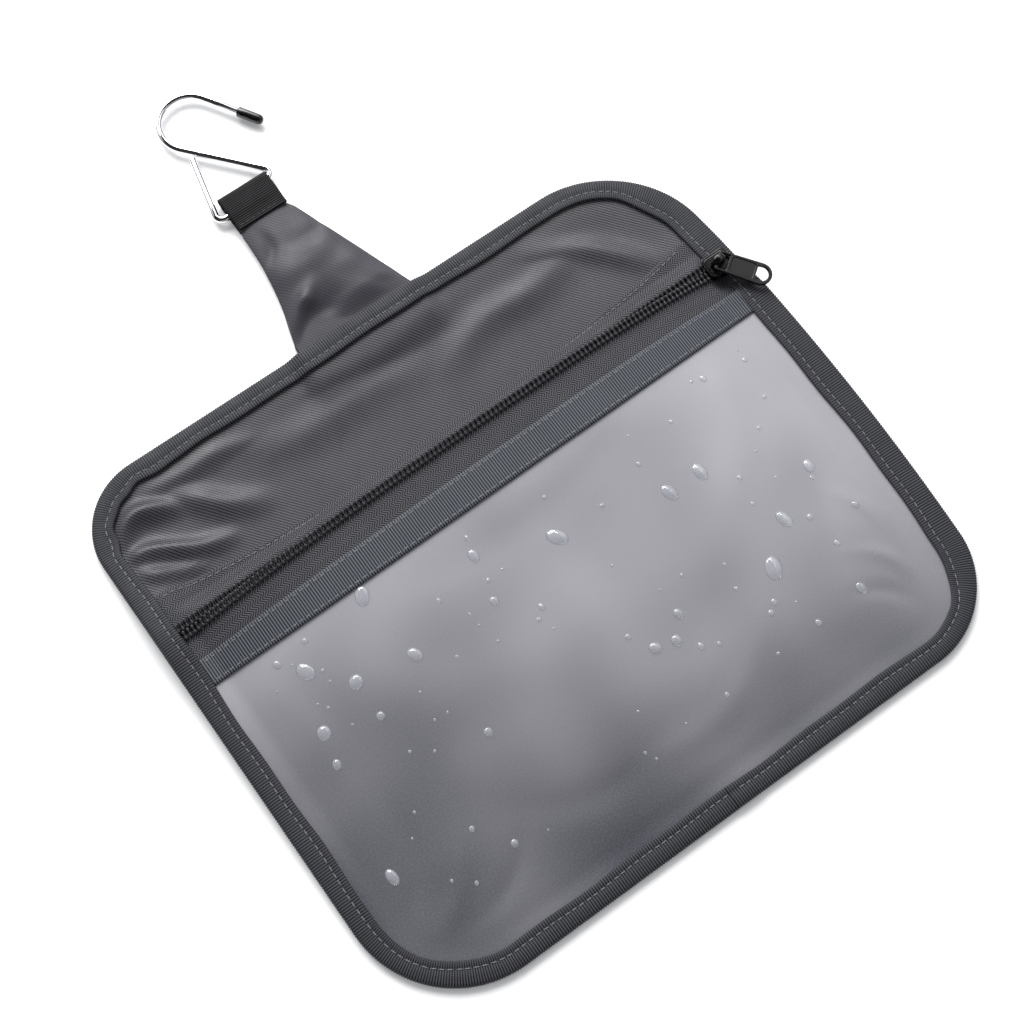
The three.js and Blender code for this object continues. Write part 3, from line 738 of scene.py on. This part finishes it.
def make_binding():
    """Grosgrain folded over the hem; its outer face has a real rib every millimetre or so."""
    thick, fold_start, inner_fold, cut_back = 0.6, 1.7, 1.1, 0.4
    dent = np.tile([RIB_DEPTH, 0.0, 0.0], RIBS)
    seam = (RIM_WIDTH - SEAM_INSET) / RIM_WIDTH
    rings = []                     # inset, height, and which way the ribs stand out: outward and upward
    for share in (0, 0.03, 0.1, 0.2, 0.27, 0.33, 0.42, 0.6, 0.8):
        inset = RIM_WIDTH - (RIM_WIDTH - 1.6) * share
        pinch = np.exp(-((inset / RIM_WIDTH - seam) * RIM_WIDTH / 0.8) ** 2)
        crown = 0.25 * math.sin(math.pi * share)
        edge = 0.25 if share == 0 else 0
        rings.append((inset, RIM_TOP + crown - 0.35 * pinch - edge, 0.0, 1.0))
    radius = RIM_TOP / 2
    for angle in np.radians(np.linspace(90, 270, 9)):
        out, up = np.cos(angle), np.sin(angle)
        rings.append((fold_start * (1 + out), radius * (1 + up), out, up))
    for share in (0.25, 0.5, 0.75, 1.0):
        rings.append((fold_start + (RIM_WIDTH - cut_back - fold_start) * share, 0.0, 0.0, -1.0))
    roof = RIM_TOP - thick
    rings += [(inset, z, 0.0, 0.0) for inset, z in (
        (RIM_WIDTH - cut_back, thick), (RIM_WIDTH * 0.5, thick), (inner_fold, thick + 0.3),
        (inner_fold, roof - 0.3), (RIM_WIDTH * 0.5, roof), (RIM_WIDTH, roof))]
    columns = []
    for inset, z, out, up in rings:
        spots = RIM_POINTS + RIM_INWARD * (inset - out * dent)[:, None]
        columns.append(np.column_stack((spots, z - up * dent + RIM_LIFT)))
    points = np.stack(columns, 1)
    around = lengths(points[0])
    around = np.append(around, around[-1] + thick)
    rib_places = np.append(RIM_PLACES, RIM_LENGTH) * RIB_PITCH * RIBS / RIM_LENGTH
    piece = grid_object("binding", points, rib_places, around, closed_rows=True, closed_columns=True)
    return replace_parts(dress(piece, "binding"), "binding_tape")


def make_binding_stitches():
    inset = RIM_WIDTH - SEAM_INSET
    above = np.column_stack((RIM_POINTS + RIM_INWARD * inset[:, None], RIM_LIFT + RIM_TOP - 0.05))
    piece = stitches("binding_stitches", above[::4], STITCH, 2.1, 0.4, -0.22, 0.16)
    below = np.column_stack((RIM_POINTS + RIM_INWARD * (inset - 0.2)[:, None], RIM_LIFT))
    under = stitches("binding_stitches_back", below[::4], STITCH, 2.2, 0.5, -0.12, 0.2)
    dress(under, "thread")
    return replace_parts(dress(piece, "thread"), "binding_thread"), under


PANEL_INSET = 2                    # how far inside the binding's edge the panels end


def make_back():
    """Twill back panel from hem to hem, laid on the table and creased at the upper left."""
    spread = -np.cos(np.linspace(0, np.pi, 150))
    y = (HALF_H - PANEL_INSET) * np.sign(spread) * np.abs(spread) ** 0.9    # closer rows near the hems
    left, right = side_span(y, PANEL_INSET)
    x = left[:, None] + (right - left)[:, None] * np.linspace(0, 1, 170)
    y = np.repeat(y[:, None], x.shape[1], 1)
    piece = draped("back_lining", x, y, back_top(x, y))
    thicken(piece, -0.8, 0)
    dress(piece, "lining")
    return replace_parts(piece, "back_panel")


def make_window():
    """Frosted film from the bottom hem to a little way under the band."""
    low, under_band = PANEL_INSET - HALF_H, 2.5
    share = np.linspace(0, 1, 90) ** 1.15
    left, right = side_span(low + (BAND_LOW + under_band - low) * share, PANEL_INSET)
    x = left[:, None] + (right - left)[:, None] * np.linspace(0, 1, 150)
    y = low + (band_low(x) + under_band - low) * share[:, None]
    piece = draped("clear_window", x, y, front_z(x, y))
    thicken(piece, -0.4, 0)
    dress(piece, "film")
    flatten(piece)
    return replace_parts(piece, "window_panel")


STRIP_LEFT, STRIP_RIGHT, STRIP_COLUMNS = -119.0, 123.5, 240


def dive(x, y, z):
    """At its right end each of the zipper's strips ducks under the binding."""
    return z - smooth((x - 114.5) / 5) * np.maximum(z - RIM_Z - hem_lift(x, y) - 0.1, 0)


def strip(name, low, high, rows):
    """A strip along the mouth between two edges, each given as a function of x."""
    x = np.repeat(np.linspace(STRIP_LEFT, STRIP_RIGHT, STRIP_COLUMNS)[None, :], rows, 0)
    share = np.linspace(0, 1, rows)[:, None]
    y = low(x) + (high(x) - low(x)) * share
    return draped(name, x, y, dive(x, y, front_z(x, y)), lean_at(x))


def make_front_strips():
    """Lower tape, band and the band's two rows of stitches, which all lie on the front."""
    tape = strip("lower_zipper_tape", lambda x: band_high(x) - 6, tape_edge, 14)
    thicken(tape, -0.5, 0)
    dress(tape, "tape")
    flatten(tape)
    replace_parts(tape, "zipper_tape_lower")
    band = strip("zipper_band_front", band_low, band_high, 12)
    thicken(band, 0.05, 0.75)
    dress(band, "band")
    flatten(band)
    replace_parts(band, "zipper_band")
    pieces = [tape, band]
    x = np.linspace(STRIP_LEFT + 4, STRIP_RIGHT - 6, 500)
    for name, y, node in (
            ("band_stitches_low", band_low(x) + 1.5, "band_thread_lower"),
            ("band_stitches_high", band_high(x) - 1.4, "band_thread_upper")):
        seam = np.column_stack((x, y, dive(x, y, front_z(x, y))))
        row = stitches(name, seam, STITCH, 2.1, 0.38, 0.6, 0.9)
        flatten(dress(row, "thread"))
        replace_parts(row, node)
        pieces.append(row)
    return pieces


TOOTH_PITCH = 1.9
TOOTH_HALF = ((1.8, 0.5), (1.35, 0.98), (0.8, 0.9), (0.3, 0.34))    # across and along, from the end in


def tooth(centre, way):
    """A coil turn seen from above: two rounded lobes with a waist between them."""
    side = np.array([-way[1], way[0], 0.0])
    pairs = []
    for across, wide in (*((-a, w) for a, w in TOOTH_HALF), *TOOTH_HALF[::-1]):
        middle = centre + side * across + way * 0.06 * across
        pairs.append((middle - way * wide, middle + way * wide))
    return pairs


def make_coil(name, from_meeting_line, z_at, first_x, last_x):
    """A row of coil turns, each along the zipper's line and at the height that z_at gives it."""
    outlines = []
    x = first_x
    while x < last_x:
        spots = np.array([x - 0.5, x + 0.5])
        y = SLIDER_Y + from_meeting_line + lean_at(spots)
        ends = np.column_stack((spots, y, z_at(spots, y)))
        outlines.append(tooth(ends.mean(0), unit(ends[1] - ends[0])))
        x += TOOTH_PITCH
    coil = soften(thicken(patches(name, outlines), -0.55, 1.75), 2)
    return dress(coil, "coil")


def make_coils():
    to_middle = COIL_GAP + COIL_WIDE / 2
    lower = make_coil("lower_coil", -to_middle, front_z, STRIP_LEFT + 2, SLIDER_LOW[0] + 1)
    flatten(lower)
    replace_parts(lower, "zipper_coil_lower")
    upper = make_coil("upper_coil", to_middle, lambda x, y: np.full_like(x, ZIP_Z), STRIP_LEFT + 2.9,
                      SLIDER_LOW[0] + 2)
    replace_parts(upper, "zipper_coil_upper")
    return lower, upper


def upper_tape_foot(x):
    return 60.5 + 7.0 * np.clip(np.abs(x - 3) / 112, 0, 1) ** 3 + lean_at(x)


def make_upper_tape():
    """Herringbone tape from the upper coil down to the back panel, with wider ends."""
    rows, level, slope = 16, 3.9, 5    # the tape stays level inside the slider, then slopes down
    x = np.repeat(np.linspace(STRIP_LEFT, STRIP_RIGHT, STRIP_COLUMNS)[None, :], rows, 0)
    start = SLIDER_Y + COIL_GAP + 0.4 + lean_at(x)
    across = (upper_tape_foot(x) - start) * np.linspace(0, 1, rows)[:, None]
    y = start + across
    lowest = back_top(x, y) + 0.55
    z = np.maximum(ZIP_Z + (lowest - ZIP_Z) * smooth((across - level) / slope), lowest)
    z = dive(x, y, z)
    tape = draped("upper_zipper_tape", x, y, z, lean_at(x))
    thicken(tape, -0.5, 0)
    dress(tape, "tape")
    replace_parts(tape, "zipper_tape_upper")
    spots = np.linspace(STRIP_LEFT + 5, STRIP_RIGHT - 8, 400)
    seam_y = upper_tape_foot(spots) - 1.6
    seam = np.column_stack((spots, seam_y, np.interp(spots, x[0], z[-3])))
    row = stitches("upper_tape_stitches", seam, STITCH, 2.1, 0.4, -0.05, 0.22)
    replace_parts(dress(row, "thread"), "upper_tape_thread")
    return tape, row


# ---- slider and pull tab
def plate(name, outer, holes, thick, bevel):
    """A flat plate with holes and rounded edges, from closed outlines in its own plane, centred on z 0."""
    curve = bpy.data.curves.new(name, "CURVE")
    curve.dimensions = "2D"
    curve.fill_mode = "BOTH"
    curve.extrude = (thick / 2 - bevel) * MM
    curve.bevel_depth = bevel * MM
    curve.bevel_resolution = 3
    curve.offset = -bevel * MM
    for ring in (outer, *holes):
        spline = curve.splines.new("POLY")
        spline.points.add(len(ring) - 1)
        for point, (x, y) in zip(spline.points, ring):
            point.co = (x * MM, y * MM, 0, 1)
        spline.use_cyclic_u = True
    holder = link(name + "_curve", curve)
    mesh = bpy.data.meshes.new_from_object(holder.evaluated_get(bpy.context.evaluated_depsgraph_get()))
    bpy.data.objects.remove(holder)
    mesh.name = name
    return mesh


def arc_points(centre, radius, start, end, count):
    return centre + radius * direction(np.radians(np.linspace(start, end, count)))


def rounded_outline(half_x, half_y, radius, middle=(0, 0)):
    ring = []
    for sign_x, sign_y, start in ((1, 1, 0), (-1, 1, 90), (-1, -1, 180), (1, -1, 270)):
        centre = (middle[0] + sign_x * (half_x - radius), middle[1] + sign_y * (half_y - radius))
        ring.extend(arc_points(centre, radius, start, start + 90, 7))
    return ring


def join_meshes(name, parts):
    """One object from several closed meshes, each with its own matrix."""
    points, faces = [], []
    for mesh, matrix in parts:
        first = len(points)
        points += [matrix @ v.co for v in mesh.vertices]
        faces += [tuple(first + i for i in p.vertices) for p in mesh.polygons]
    piece = link(name, smooth_mesh(name, [tuple(p) for p in points], faces))
    crisp = piece.modifiers.new("edges", "WEIGHTED_NORMAL")
    crisp.keep_sharp = True
    return piece


def tube(name, path, radii, sides=24, squeeze=1.0):
    """A closed tube along a path, with a radius at each point. The squeeze widens it sideways."""
    radii = np.asarray(radii, float)
    tangent = unit(np.gradient(path, axis=0))
    side = np.cross(tangent, (0, 0, 1.0))
    side[np.linalg.norm(side, axis=1) < 0.05] = (0, 1.0, 0)
    side = unit(side)
    up = np.cross(side, tangent)
    angles = np.linspace(0, 2 * np.pi, sides, endpoint=False)
    wide = (radii * squeeze)[:, None, None]
    points = (path[:, None, :] + side[:, None, :] * np.cos(angles)[None, :, None] * wide
              + up[:, None, :] * np.sin(angles)[None, :, None] * radii[:, None, None])
    count = len(path)
    i, j = np.meshgrid(np.arange(count - 1), np.arange(sides), indexing="ij")
    i, j = i.ravel(), j.ravel()
    k = (j + 1) % sides
    faces = np.column_stack((i * sides + j, i * sides + k, (i + 1) * sides + k, (i + 1) * sides + j)).tolist()
    faces += [tuple(range(sides))[::-1], tuple(range((count - 1) * sides, count * sides))]
    return make_object(name, points, faces)


def make_slider():
    """Two plates with side flanges, a thin post between the coils and a fat arched bail."""
    left, right = SLIDER_LOW[0], SLIDER_HIGH[0]
    middle = ((left + right) / 2, SLIDER_Y)
    half_x, half_y = (right - left) / 2, (SLIDER_HIGH[1] - SLIDER_LOW[1]) / 2
    shape = rounded_outline(half_x, half_y, 2.0, middle)
    cap = rounded_outline(half_x - 0.7, half_y - 0.8, 1.6, middle)
    walls = [rounded_outline(half_x - 2.0, 0.4, 0.2, (middle[0], SLIDER_Y + side * (half_y - 0.42)))
             for side in (-1, 1)]
    post = rounded_outline(1.3, 0.3, 0.25, (left + 1.9, SLIDER_Y))
    low_z, high_z = SLIDER_LOW[2], SLIDER_HIGH[2]
    parts = []
    for ring, thick, bevel, z in (
            (shape, 0.8, 0.25, low_z + 0.4), (shape, 0.95, 0.3, high_z - 0.5),
            (cap, 0.8, 0.38, high_z - 0.25), *((wall, 1.75, 0.15, high_z - 1.7) for wall in walls),
            (post, 3.2, 0.1, (low_z + high_z) / 2)):
        parts.append((plate("slider_plate", ring, (), thick, bevel), Matrix.Translation((0, 0, z * MM))))
    body = join_meshes("slider", parts)
    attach(dress(body, "paint"), "slider")
    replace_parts(body, "slider_body")

    low, high = box_mm("slider_bail")
    middle_x, reach = (low[0] + high[0]) / 2, (high[0] - low[0]) / 2 - 0.55
    arch = [(-reach, high_z - 0.3), (-reach, high_z + 0.4)]
    for angle in np.radians(np.linspace(180, 0, 21)):
        across = math.copysign(abs(math.cos(angle)) ** 0.75, math.cos(angle))
        arch.append((reach * across, high_z + 0.9 + (high[2] - high_z - 1.45) * math.sin(angle) ** 0.75))
    arch += [(reach, high_z + 0.4), (reach, high_z - 0.3)]
    path = np.array([(middle_x + x, SLIDER_Y, z) for x, z in arch])
    spread = np.exp(-((path[:, 0] - middle_x) / 1.9) ** 2)
    bail = tube("bail", path, np.full(len(path), 0.52), 16, squeeze=1.1 + 2.3 * spread)
    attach(dress(bail, "paint"), "slider")
    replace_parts(bail, "slider_bail")


TAB_THICK = 1.25


def make_tab():
    """Pull tab with a raised border, an eye round the bail and a D-shaped hole at its far end."""
    length, half, root, eye_end, hole_start = 20.6, 4.4, 4.0, 3.7, 14.6
    outer = [(-0.6, -root + 0.6), (-0.3, -root), *arc_points((length - half, 0), half, -90, 90, 21),
             (-0.3, root), (-0.6, root - 0.6)]
    eye = rounded_outline((eye_end - 0.6) / 2, root - 0.9, 0.4, ((eye_end + 0.6) / 2, 0))
    hole = [(hole_start, -half + 1.7), *arc_points((length - half, 0), half - 1.4, -80, 80, 17),
            (hole_start, half - 1.7)]
    recess = rounded_outline(4.35, root - 0.95, 0.9, (9.3, 0))
    border = plate("tab_border", outer, (eye, hole, recess), TAB_THICK, 0.3)
    floor = plate("tab_floor", rounded_outline(4.9, root - 0.5, 0.5, (9.3, 0)), (), 0.7, 0.1)
    low, high = box_mm("pull_tab")
    sink = math.atan2(high[2] - low[2] - TAB_THICK, length)
    way = math.atan2(TAB_AXIS[0], -TAB_AXIS[1])
    place = Matrix.Translation(TAB_PIVOT * MM) @ Matrix.Rotation(way, 4, "Z") @ Matrix.Rotation(sink, 4, "Y")
    tab = join_meshes("tab_plate", [(border, place), (floor, place)])
    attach(dress(tab, "paint"), "tab")
    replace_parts(tab, "pull_tab")


# ---- strap, webbing, hook
STRAP_FOOT = 98.0
LOOP_FOOT, LOOP_FOLD = LOOP_LOW[1], LOOP_HIGH[1]
STRAP_PLY = 0.7
# Middle, direction in degrees, length, width and height, as on the film.
STRAP_CREASES = (
    ((-8.5, 154), 66, 6, 2.6, -1.1), ((9, 151), 18, 8, 3.4, -0.8), ((0, 142), 14, 14, 5.5, 0.9),
    ((14, 134), 18, 10, 4.5, 0.5), ((19, 118.5), -28, 6, 2.8, -0.6),
)


def strap_fold(x, y):
    """The deep fold that runs up from the strap's left foot: a crest beside a valley that opens upward."""
    along, across = along_and_across(x, y, (-23, 116.5), math.atan2(17.5, 23))
    fade = smooth((along + 3) / 6) * (1 - smooth((along - 15) / 16))
    wide = 3.6 + 0.1 * np.clip(along, 0, 30)
    crest = 2.7 * np.exp(-((across - 1.8) / 3.2) ** 2)
    valley = 3.0 * np.exp(-((across + 3.0 + wide * 0.7) / wide) ** 2)
    return fade * (crest - valley)


def strap_edges(y):
    """Left and right edges of the flared strap."""
    t = np.clip((LOOP_FOOT - y) / (LOOP_FOOT - STRAP_HINGE_Y), 0, 1.25)
    narrow = 0.7 * smooth((y - LOOP_FOOT + 3) / 3)
    left = -14.2 - 9.2 * np.minimum(t, 1) ** 2.2 + narrow
    right = 7.5 + 18.3 * t - narrow
    return left, right


def strap_bed(y):
    """Height of the strap's back ply, which climbs a little to the webbing."""
    return 0.02 + 0.9 * smooth((y - 122) / 42)


def make_strap():
    """Two flared plies: the back one flat, the front one puffed and creased, both sewn under the top hem."""
    y = np.repeat(np.linspace(STRAP_FOOT, LOOP_FOOT + 3.5, 90)[:, None], 60, 1)
    u = np.repeat(np.linspace(-1, 1, 60)[None, :], 90, 0)
    left, right = strap_edges(y)
    x = left + (right - left) * (u + 1) / 2
    under = draped("strap_back", x, y, strap_bed(y))
    puffed = smooth((y - 113.8 - 7.5 * np.exp(-((x + 12) / 8) ** 2)) / 9)
    full = 0.1 + puffed * (2.6 - 1.8 * smooth((y - 138) / 28))
    belly = np.clip(1 - np.abs(u) ** 3.2, 0, 1) * full
    folds = strap_fold(x, y) + sum(ridge(x, y, *place) for place in STRAP_CREASES)
    rise = np.maximum(belly + folds * puffed * np.clip(1.15 - np.abs(u) ** 6, 0, 1), 0.0)
    over = draped("strap_front", x, y, strap_bed(y) + STRAP_PLY + 0.04 + rise)
    for ply, node, flat in (
            (under, "strap_back_ply", (0.053, 0.0725)), (over, "strap_front_ply", (0.053, 0.0740))):
        thicken(ply, 0, STRAP_PLY)
        dress(ply, "strap")
        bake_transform(ply)
        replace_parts(ply, node)
    seam = straight_seam((-22, 24), 105.5, 0.02, 60)
    row = stitches("strap_base_stitches", seam, STITCH, 2.2, 0.5, -0.12, 0.1)
    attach(dress(row, "thread"), "pouch")


WEBBING_RIB, WEBBING_RIBS, WEBBING_THICK = 0.95, 39, 0.9


def webbing_path():
    """The middle of the webbing, seen from its side: out under the bar, round it and down onto the strap."""
    half = WEBBING_THICK / 2
    top = LOOP_HIGH[2]
    radius = top / 2 - half
    flat = 0.85                    # the fold is pressed to this share of a half circle's depth
    centre_y = LOOP_FOLD - half - radius * flat
    turn = direction(np.radians(np.linspace(-90, 90, 19)))
    landing = ((8.6, 0.45), (6.2, 0.62), (4.2, 1.15), (2.2, 1.42), (0, 1.45))   # past the foot, below the top
    run = [(LOOP_FOOT, half), (LOOP_FOOT + 3, half), *((centre_y, top / 2) + turn * (radius * flat, radius)),
           *((LOOP_FOOT + past, top - below) for past, below in landing)]
    along = lengths(run)
    return relax(spots_at(np.linspace(0, along[-1], WEBBING_RIBS * 4 + 1), along, run), 6)


def close_ends(piece, around, half):
    """Faces over both cut ends of a ring of points that goes out on one side and back on the other."""
    ends = bmesh.new()
    ends.from_mesh(piece.data)
    ends.verts.ensure_lookup_table()
    for base in (0, len(ends.verts) - around):
        for n in range(half - 1):
            loop = [ends.verts[base + k] for k in (n, n + 1, around - 2 - n, around - 1 - n)]
            ends.faces.new(loop).smooth = True
    bmesh.ops.recalc_face_normals(ends, faces=ends.faces[:])
    ends.to_mesh(piece.data)
    ends.free()


def make_webbing():
    """One ply of ribbed webbing that goes round the hook's bar and back, with its end sewn over the strap."""
    path = webbing_path()
    way = unit(np.gradient(path, axis=0))
    outward = np.column_stack((way[:, 1], -way[:, 0]))
    dent = np.append(np.tile([0.2, 0.03, 0.0, 0.03], WEBBING_RIBS), 0.2)
    outer = path + outward * (WEBBING_THICK / 2 - dent)[:, None]
    inner = path - outward * (WEBBING_THICK / 2)
    ring = np.vstack((outer, inner[::-1]))
    x = np.linspace(LOOP_LOW[0], LOOP_HIGH[0], 36)
    points = np.zeros((len(x), len(ring), 3))
    points[:, :, 0] = x[:, None]
    points[[0, -1], :, 0] += 0.12 * np.sin(np.arange(len(ring)) * 1.7)      # the cut edges are a little wavy
    points[:, :, 1:] = ring[None]
    ring_places = np.arange(len(ring) + 1) * WEBBING_RIB / 4
    piece = grid_object("webbing", points, x, ring_places, closed_columns=True)
    close_ends(piece, len(ring), len(outer))
    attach(dress(piece, "webbing"), "strap")
    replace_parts(piece, "webbing_loop")
    seam = straight_seam((LOOP_LOW[0] + 1, LOOP_HIGH[0] - 1), LOOP_FOOT + 1.4, LOOP_HIGH[2] - 1.05, 30)
    row = stitches("loop_stitches", seam, 2.4, 1.9, 0.45, -0.1, 0.16)
    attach(dress(row, "dark_thread"), "strap")
    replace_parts(row, "loop_thread")


# The hook in its own plane, from the middle of its bar: X along the bar, Y away from the strap.
HOOK_WIRE, HOOK_CORNER = 1.4, 2.8                  # radii of the wire and of the bar's corners
BAR_LEFT, BAR_RIGHT = np.array((-15.9, 0.0)), np.array((14.8, 0.0))
SHORT_END = np.array((-2.4, 27.2))
HOOK_BEND, HOOK_BEND_RADIUS = np.array((8.05, 38.6)), 11.8
TIP_TURN, TIP_LENGTH, CAP_START = math.radians(18.1), 24.0, 14.9
TIP_WAY = direction(TIP_TURN - math.pi / 2)
BEND_END = HOOK_BEND + HOOK_BEND_RADIUS * direction(TIP_TURN)
CAP_PROFILE = ((0.0, 1.78), (0.08, 1.95), (0.35, 2.02), (4.0, 2.0), (8.2, 2.0), (9.0, 1.9), (9.7, 1.6),
               (10.2, 1.1), (10.45, 0.5), (10.5, 0.08))              # along the cap, and its radius there


def wire_corner(point, before, after):
    """The wire's rounded corner at a point between two others."""
    inward, outward = unit(before - point), unit(after - point)
    half = math.acos(inward @ outward) / 2
    centre = point + unit(inward + outward) * HOOK_CORNER / math.sin(half)
    first = point + inward * HOOK_CORNER / math.tan(half) - centre
    last = point + outward * HOOK_CORNER / math.tan(half) - centre
    start = math.atan2(first[1], first[0])
    sweep = (math.atan2(last[1], last[0]) - start + math.pi) % (2 * math.pi) - math.pi
    return centre + HOOK_CORNER * direction(start + sweep * np.linspace(0, 1, 12))


def hook_place(flat):
    """From the hook's own plane to the bag's millimetres."""
    x, y = np.transpose(flat)
    turned = np.outer(x, direction(HOOK_TURN)) + np.outer(y, direction(HOOK_TURN + math.pi / 2))
    return np.column_stack((turned + HOOK_BAR[:2], np.full(len(x), HOOK_BAR[2])))


def make_hook():
    """One bent wire, from its short leg round the bar and the long leg to the bend, and its tip's cap."""
    to_bend = HOOK_BEND - BAR_RIGHT
    leg = math.atan2(to_bend[1], to_bend[0]) + math.asin(HOOK_BEND_RADIUS / np.linalg.norm(to_bend))
    turns = np.linspace(leg + math.pi / 2, TIP_TURN, 44)
    inward = unit(BAR_LEFT - SHORT_END)
    path = np.array([
        SHORT_END, SHORT_END + inward * 0.08, SHORT_END + inward * 0.25,
        *wire_corner(BAR_LEFT, SHORT_END, BAR_RIGHT),
        *wire_corner(BAR_RIGHT, BAR_LEFT, BAR_RIGHT + direction(leg)),
        *(HOOK_BEND + HOOK_BEND_RADIUS * direction(turns)), BEND_END + TIP_WAY * TIP_LENGTH])
    radii = np.full(len(path), HOOK_WIRE)
    radii[:2] -= (0.3, 0.08)
    wire = tube("hook", hook_place(path), radii, 28)
    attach(dress(wire, "chrome"), "hook")
    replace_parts(wire, "hook_wire")
    start = BEND_END + TIP_WAY * CAP_START
    cap = tube("tip_cap", hook_place([start + TIP_WAY * along for along, _ in CAP_PROFILE]),
               [radius for _, radius in CAP_PROFILE], 28)
    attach(dress(cap, "vinyl"), "hook")
    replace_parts(cap, "hook_tip_cap")


# ---- water on the window
DROP_RINGS, DROP_SIDES = 7, 18


def drop_rings(x, y, radius, stretch, turn, lop, phase):
    """A drop's outline round its middle, and the same shape at each smaller ring."""
    angles = 2 * math.pi * np.arange(DROP_SIDES) / DROP_SIDES
    reach = radius * (1 + lop * radius * 0.5 * np.cos(2 * angles + phase))
    rim = np.outer(reach * np.cos(angles), direction(turn))
    rim += np.outer(reach * np.sin(angles) * stretch, direction(turn + math.pi / 2))
    return (x, y) + rim, [(x, y) + rim * ring / DROP_RINGS for ring in range(DROP_RINGS)]


def drop_faces(first):
    """Faces of a drop whose points are its upper rings, its lower rings and their shared rim."""
    rim = first + 2 * DROP_RINGS * DROP_SIDES
    faces = []
    for base, way in ((first, 1), (first + DROP_RINGS * DROP_SIDES, -1)):
        starts = [base + ring * DROP_SIDES for ring in range(DROP_RINGS)] + [rim]
        for inner, outer in zip(starts, starts[1:]):
            for side in range(DROP_SIDES):
                ahead = (side + 1) % DROP_SIDES
                faces.append((inner + side, outer + side, outer + ahead, inner + ahead)[::way])
    return faces


def make_droplets():
    """Scattered drops of clear water, small ones mostly round and large ones lopsided."""
    drops = random.Random(11)
    points, faces, weights, placed = [], [], [], []
    for _ in range(900):
        radius = min(0.45 * math.exp(drops.uniform(0, 1) ** 1.5 * 2.0), 3.4)
        x, y = drops.uniform(-104, 106), drops.uniform(-86, 20)
        if inset_of(np.array(x), np.array(y)) < 14 or len(placed) >= 90:
            continue
        if any(math.hypot(x - a, y - b) < radius + r + 1.5 for a, b, r in placed):
            continue
        placed.append((x, y, radius))
        stretch, turn = drops.uniform(1.0, 1.0 + radius * 0.2), drops.uniform(-0.5, 0.5)
        lop, phase = drops.uniform(0, 0.10), drops.uniform(0, 6.28)
        rim, rings = drop_rings(x, y, radius, stretch, turn, lop, phase)
        faces += drop_faces(len(points))
        points += [spot for ring in (*rings, *rings, rim) for spot in ring]
        dome = min(radius * 0.5, 1.0) * (1 - (np.arange(DROP_RINGS) / DROP_RINGS) ** 2.4)
        weights += [*np.repeat(dome, DROP_SIDES), *[0.0] * (DROP_RINGS + 1) * DROP_SIDES]
    flat = np.array(points)
    z = front_z(flat[:, 0], flat[:, 1]) + 0.03
    piece = make_object("water_drops", np.column_stack((flat, z)), faces)
    group = piece.vertex_groups.new(name="dome")
    for index, weight in enumerate(weights):
        group.add([index], float(weight), "REPLACE")
    swell = piece.modifiers.new("dome", "DISPLACE")
    swell.direction = "Z"
    swell.mid_level = 0
    swell.strength = 1.0 * MM
    swell.vertex_group = "dome"
    dress(piece, "water")
    flatten(piece)
    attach(piece, "pouch")


# ---- the whole bag
add_camera()
add_studio()
binding = make_binding()
for part in (binding, *make_binding_stitches(), make_back(), make_window(), *make_front_strips(),
             *make_coils(), *make_upper_tape()):
    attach(part, "pouch")
make_slider()
make_tab()
make_strap()
make_webbing()
make_hook()
make_droplets()
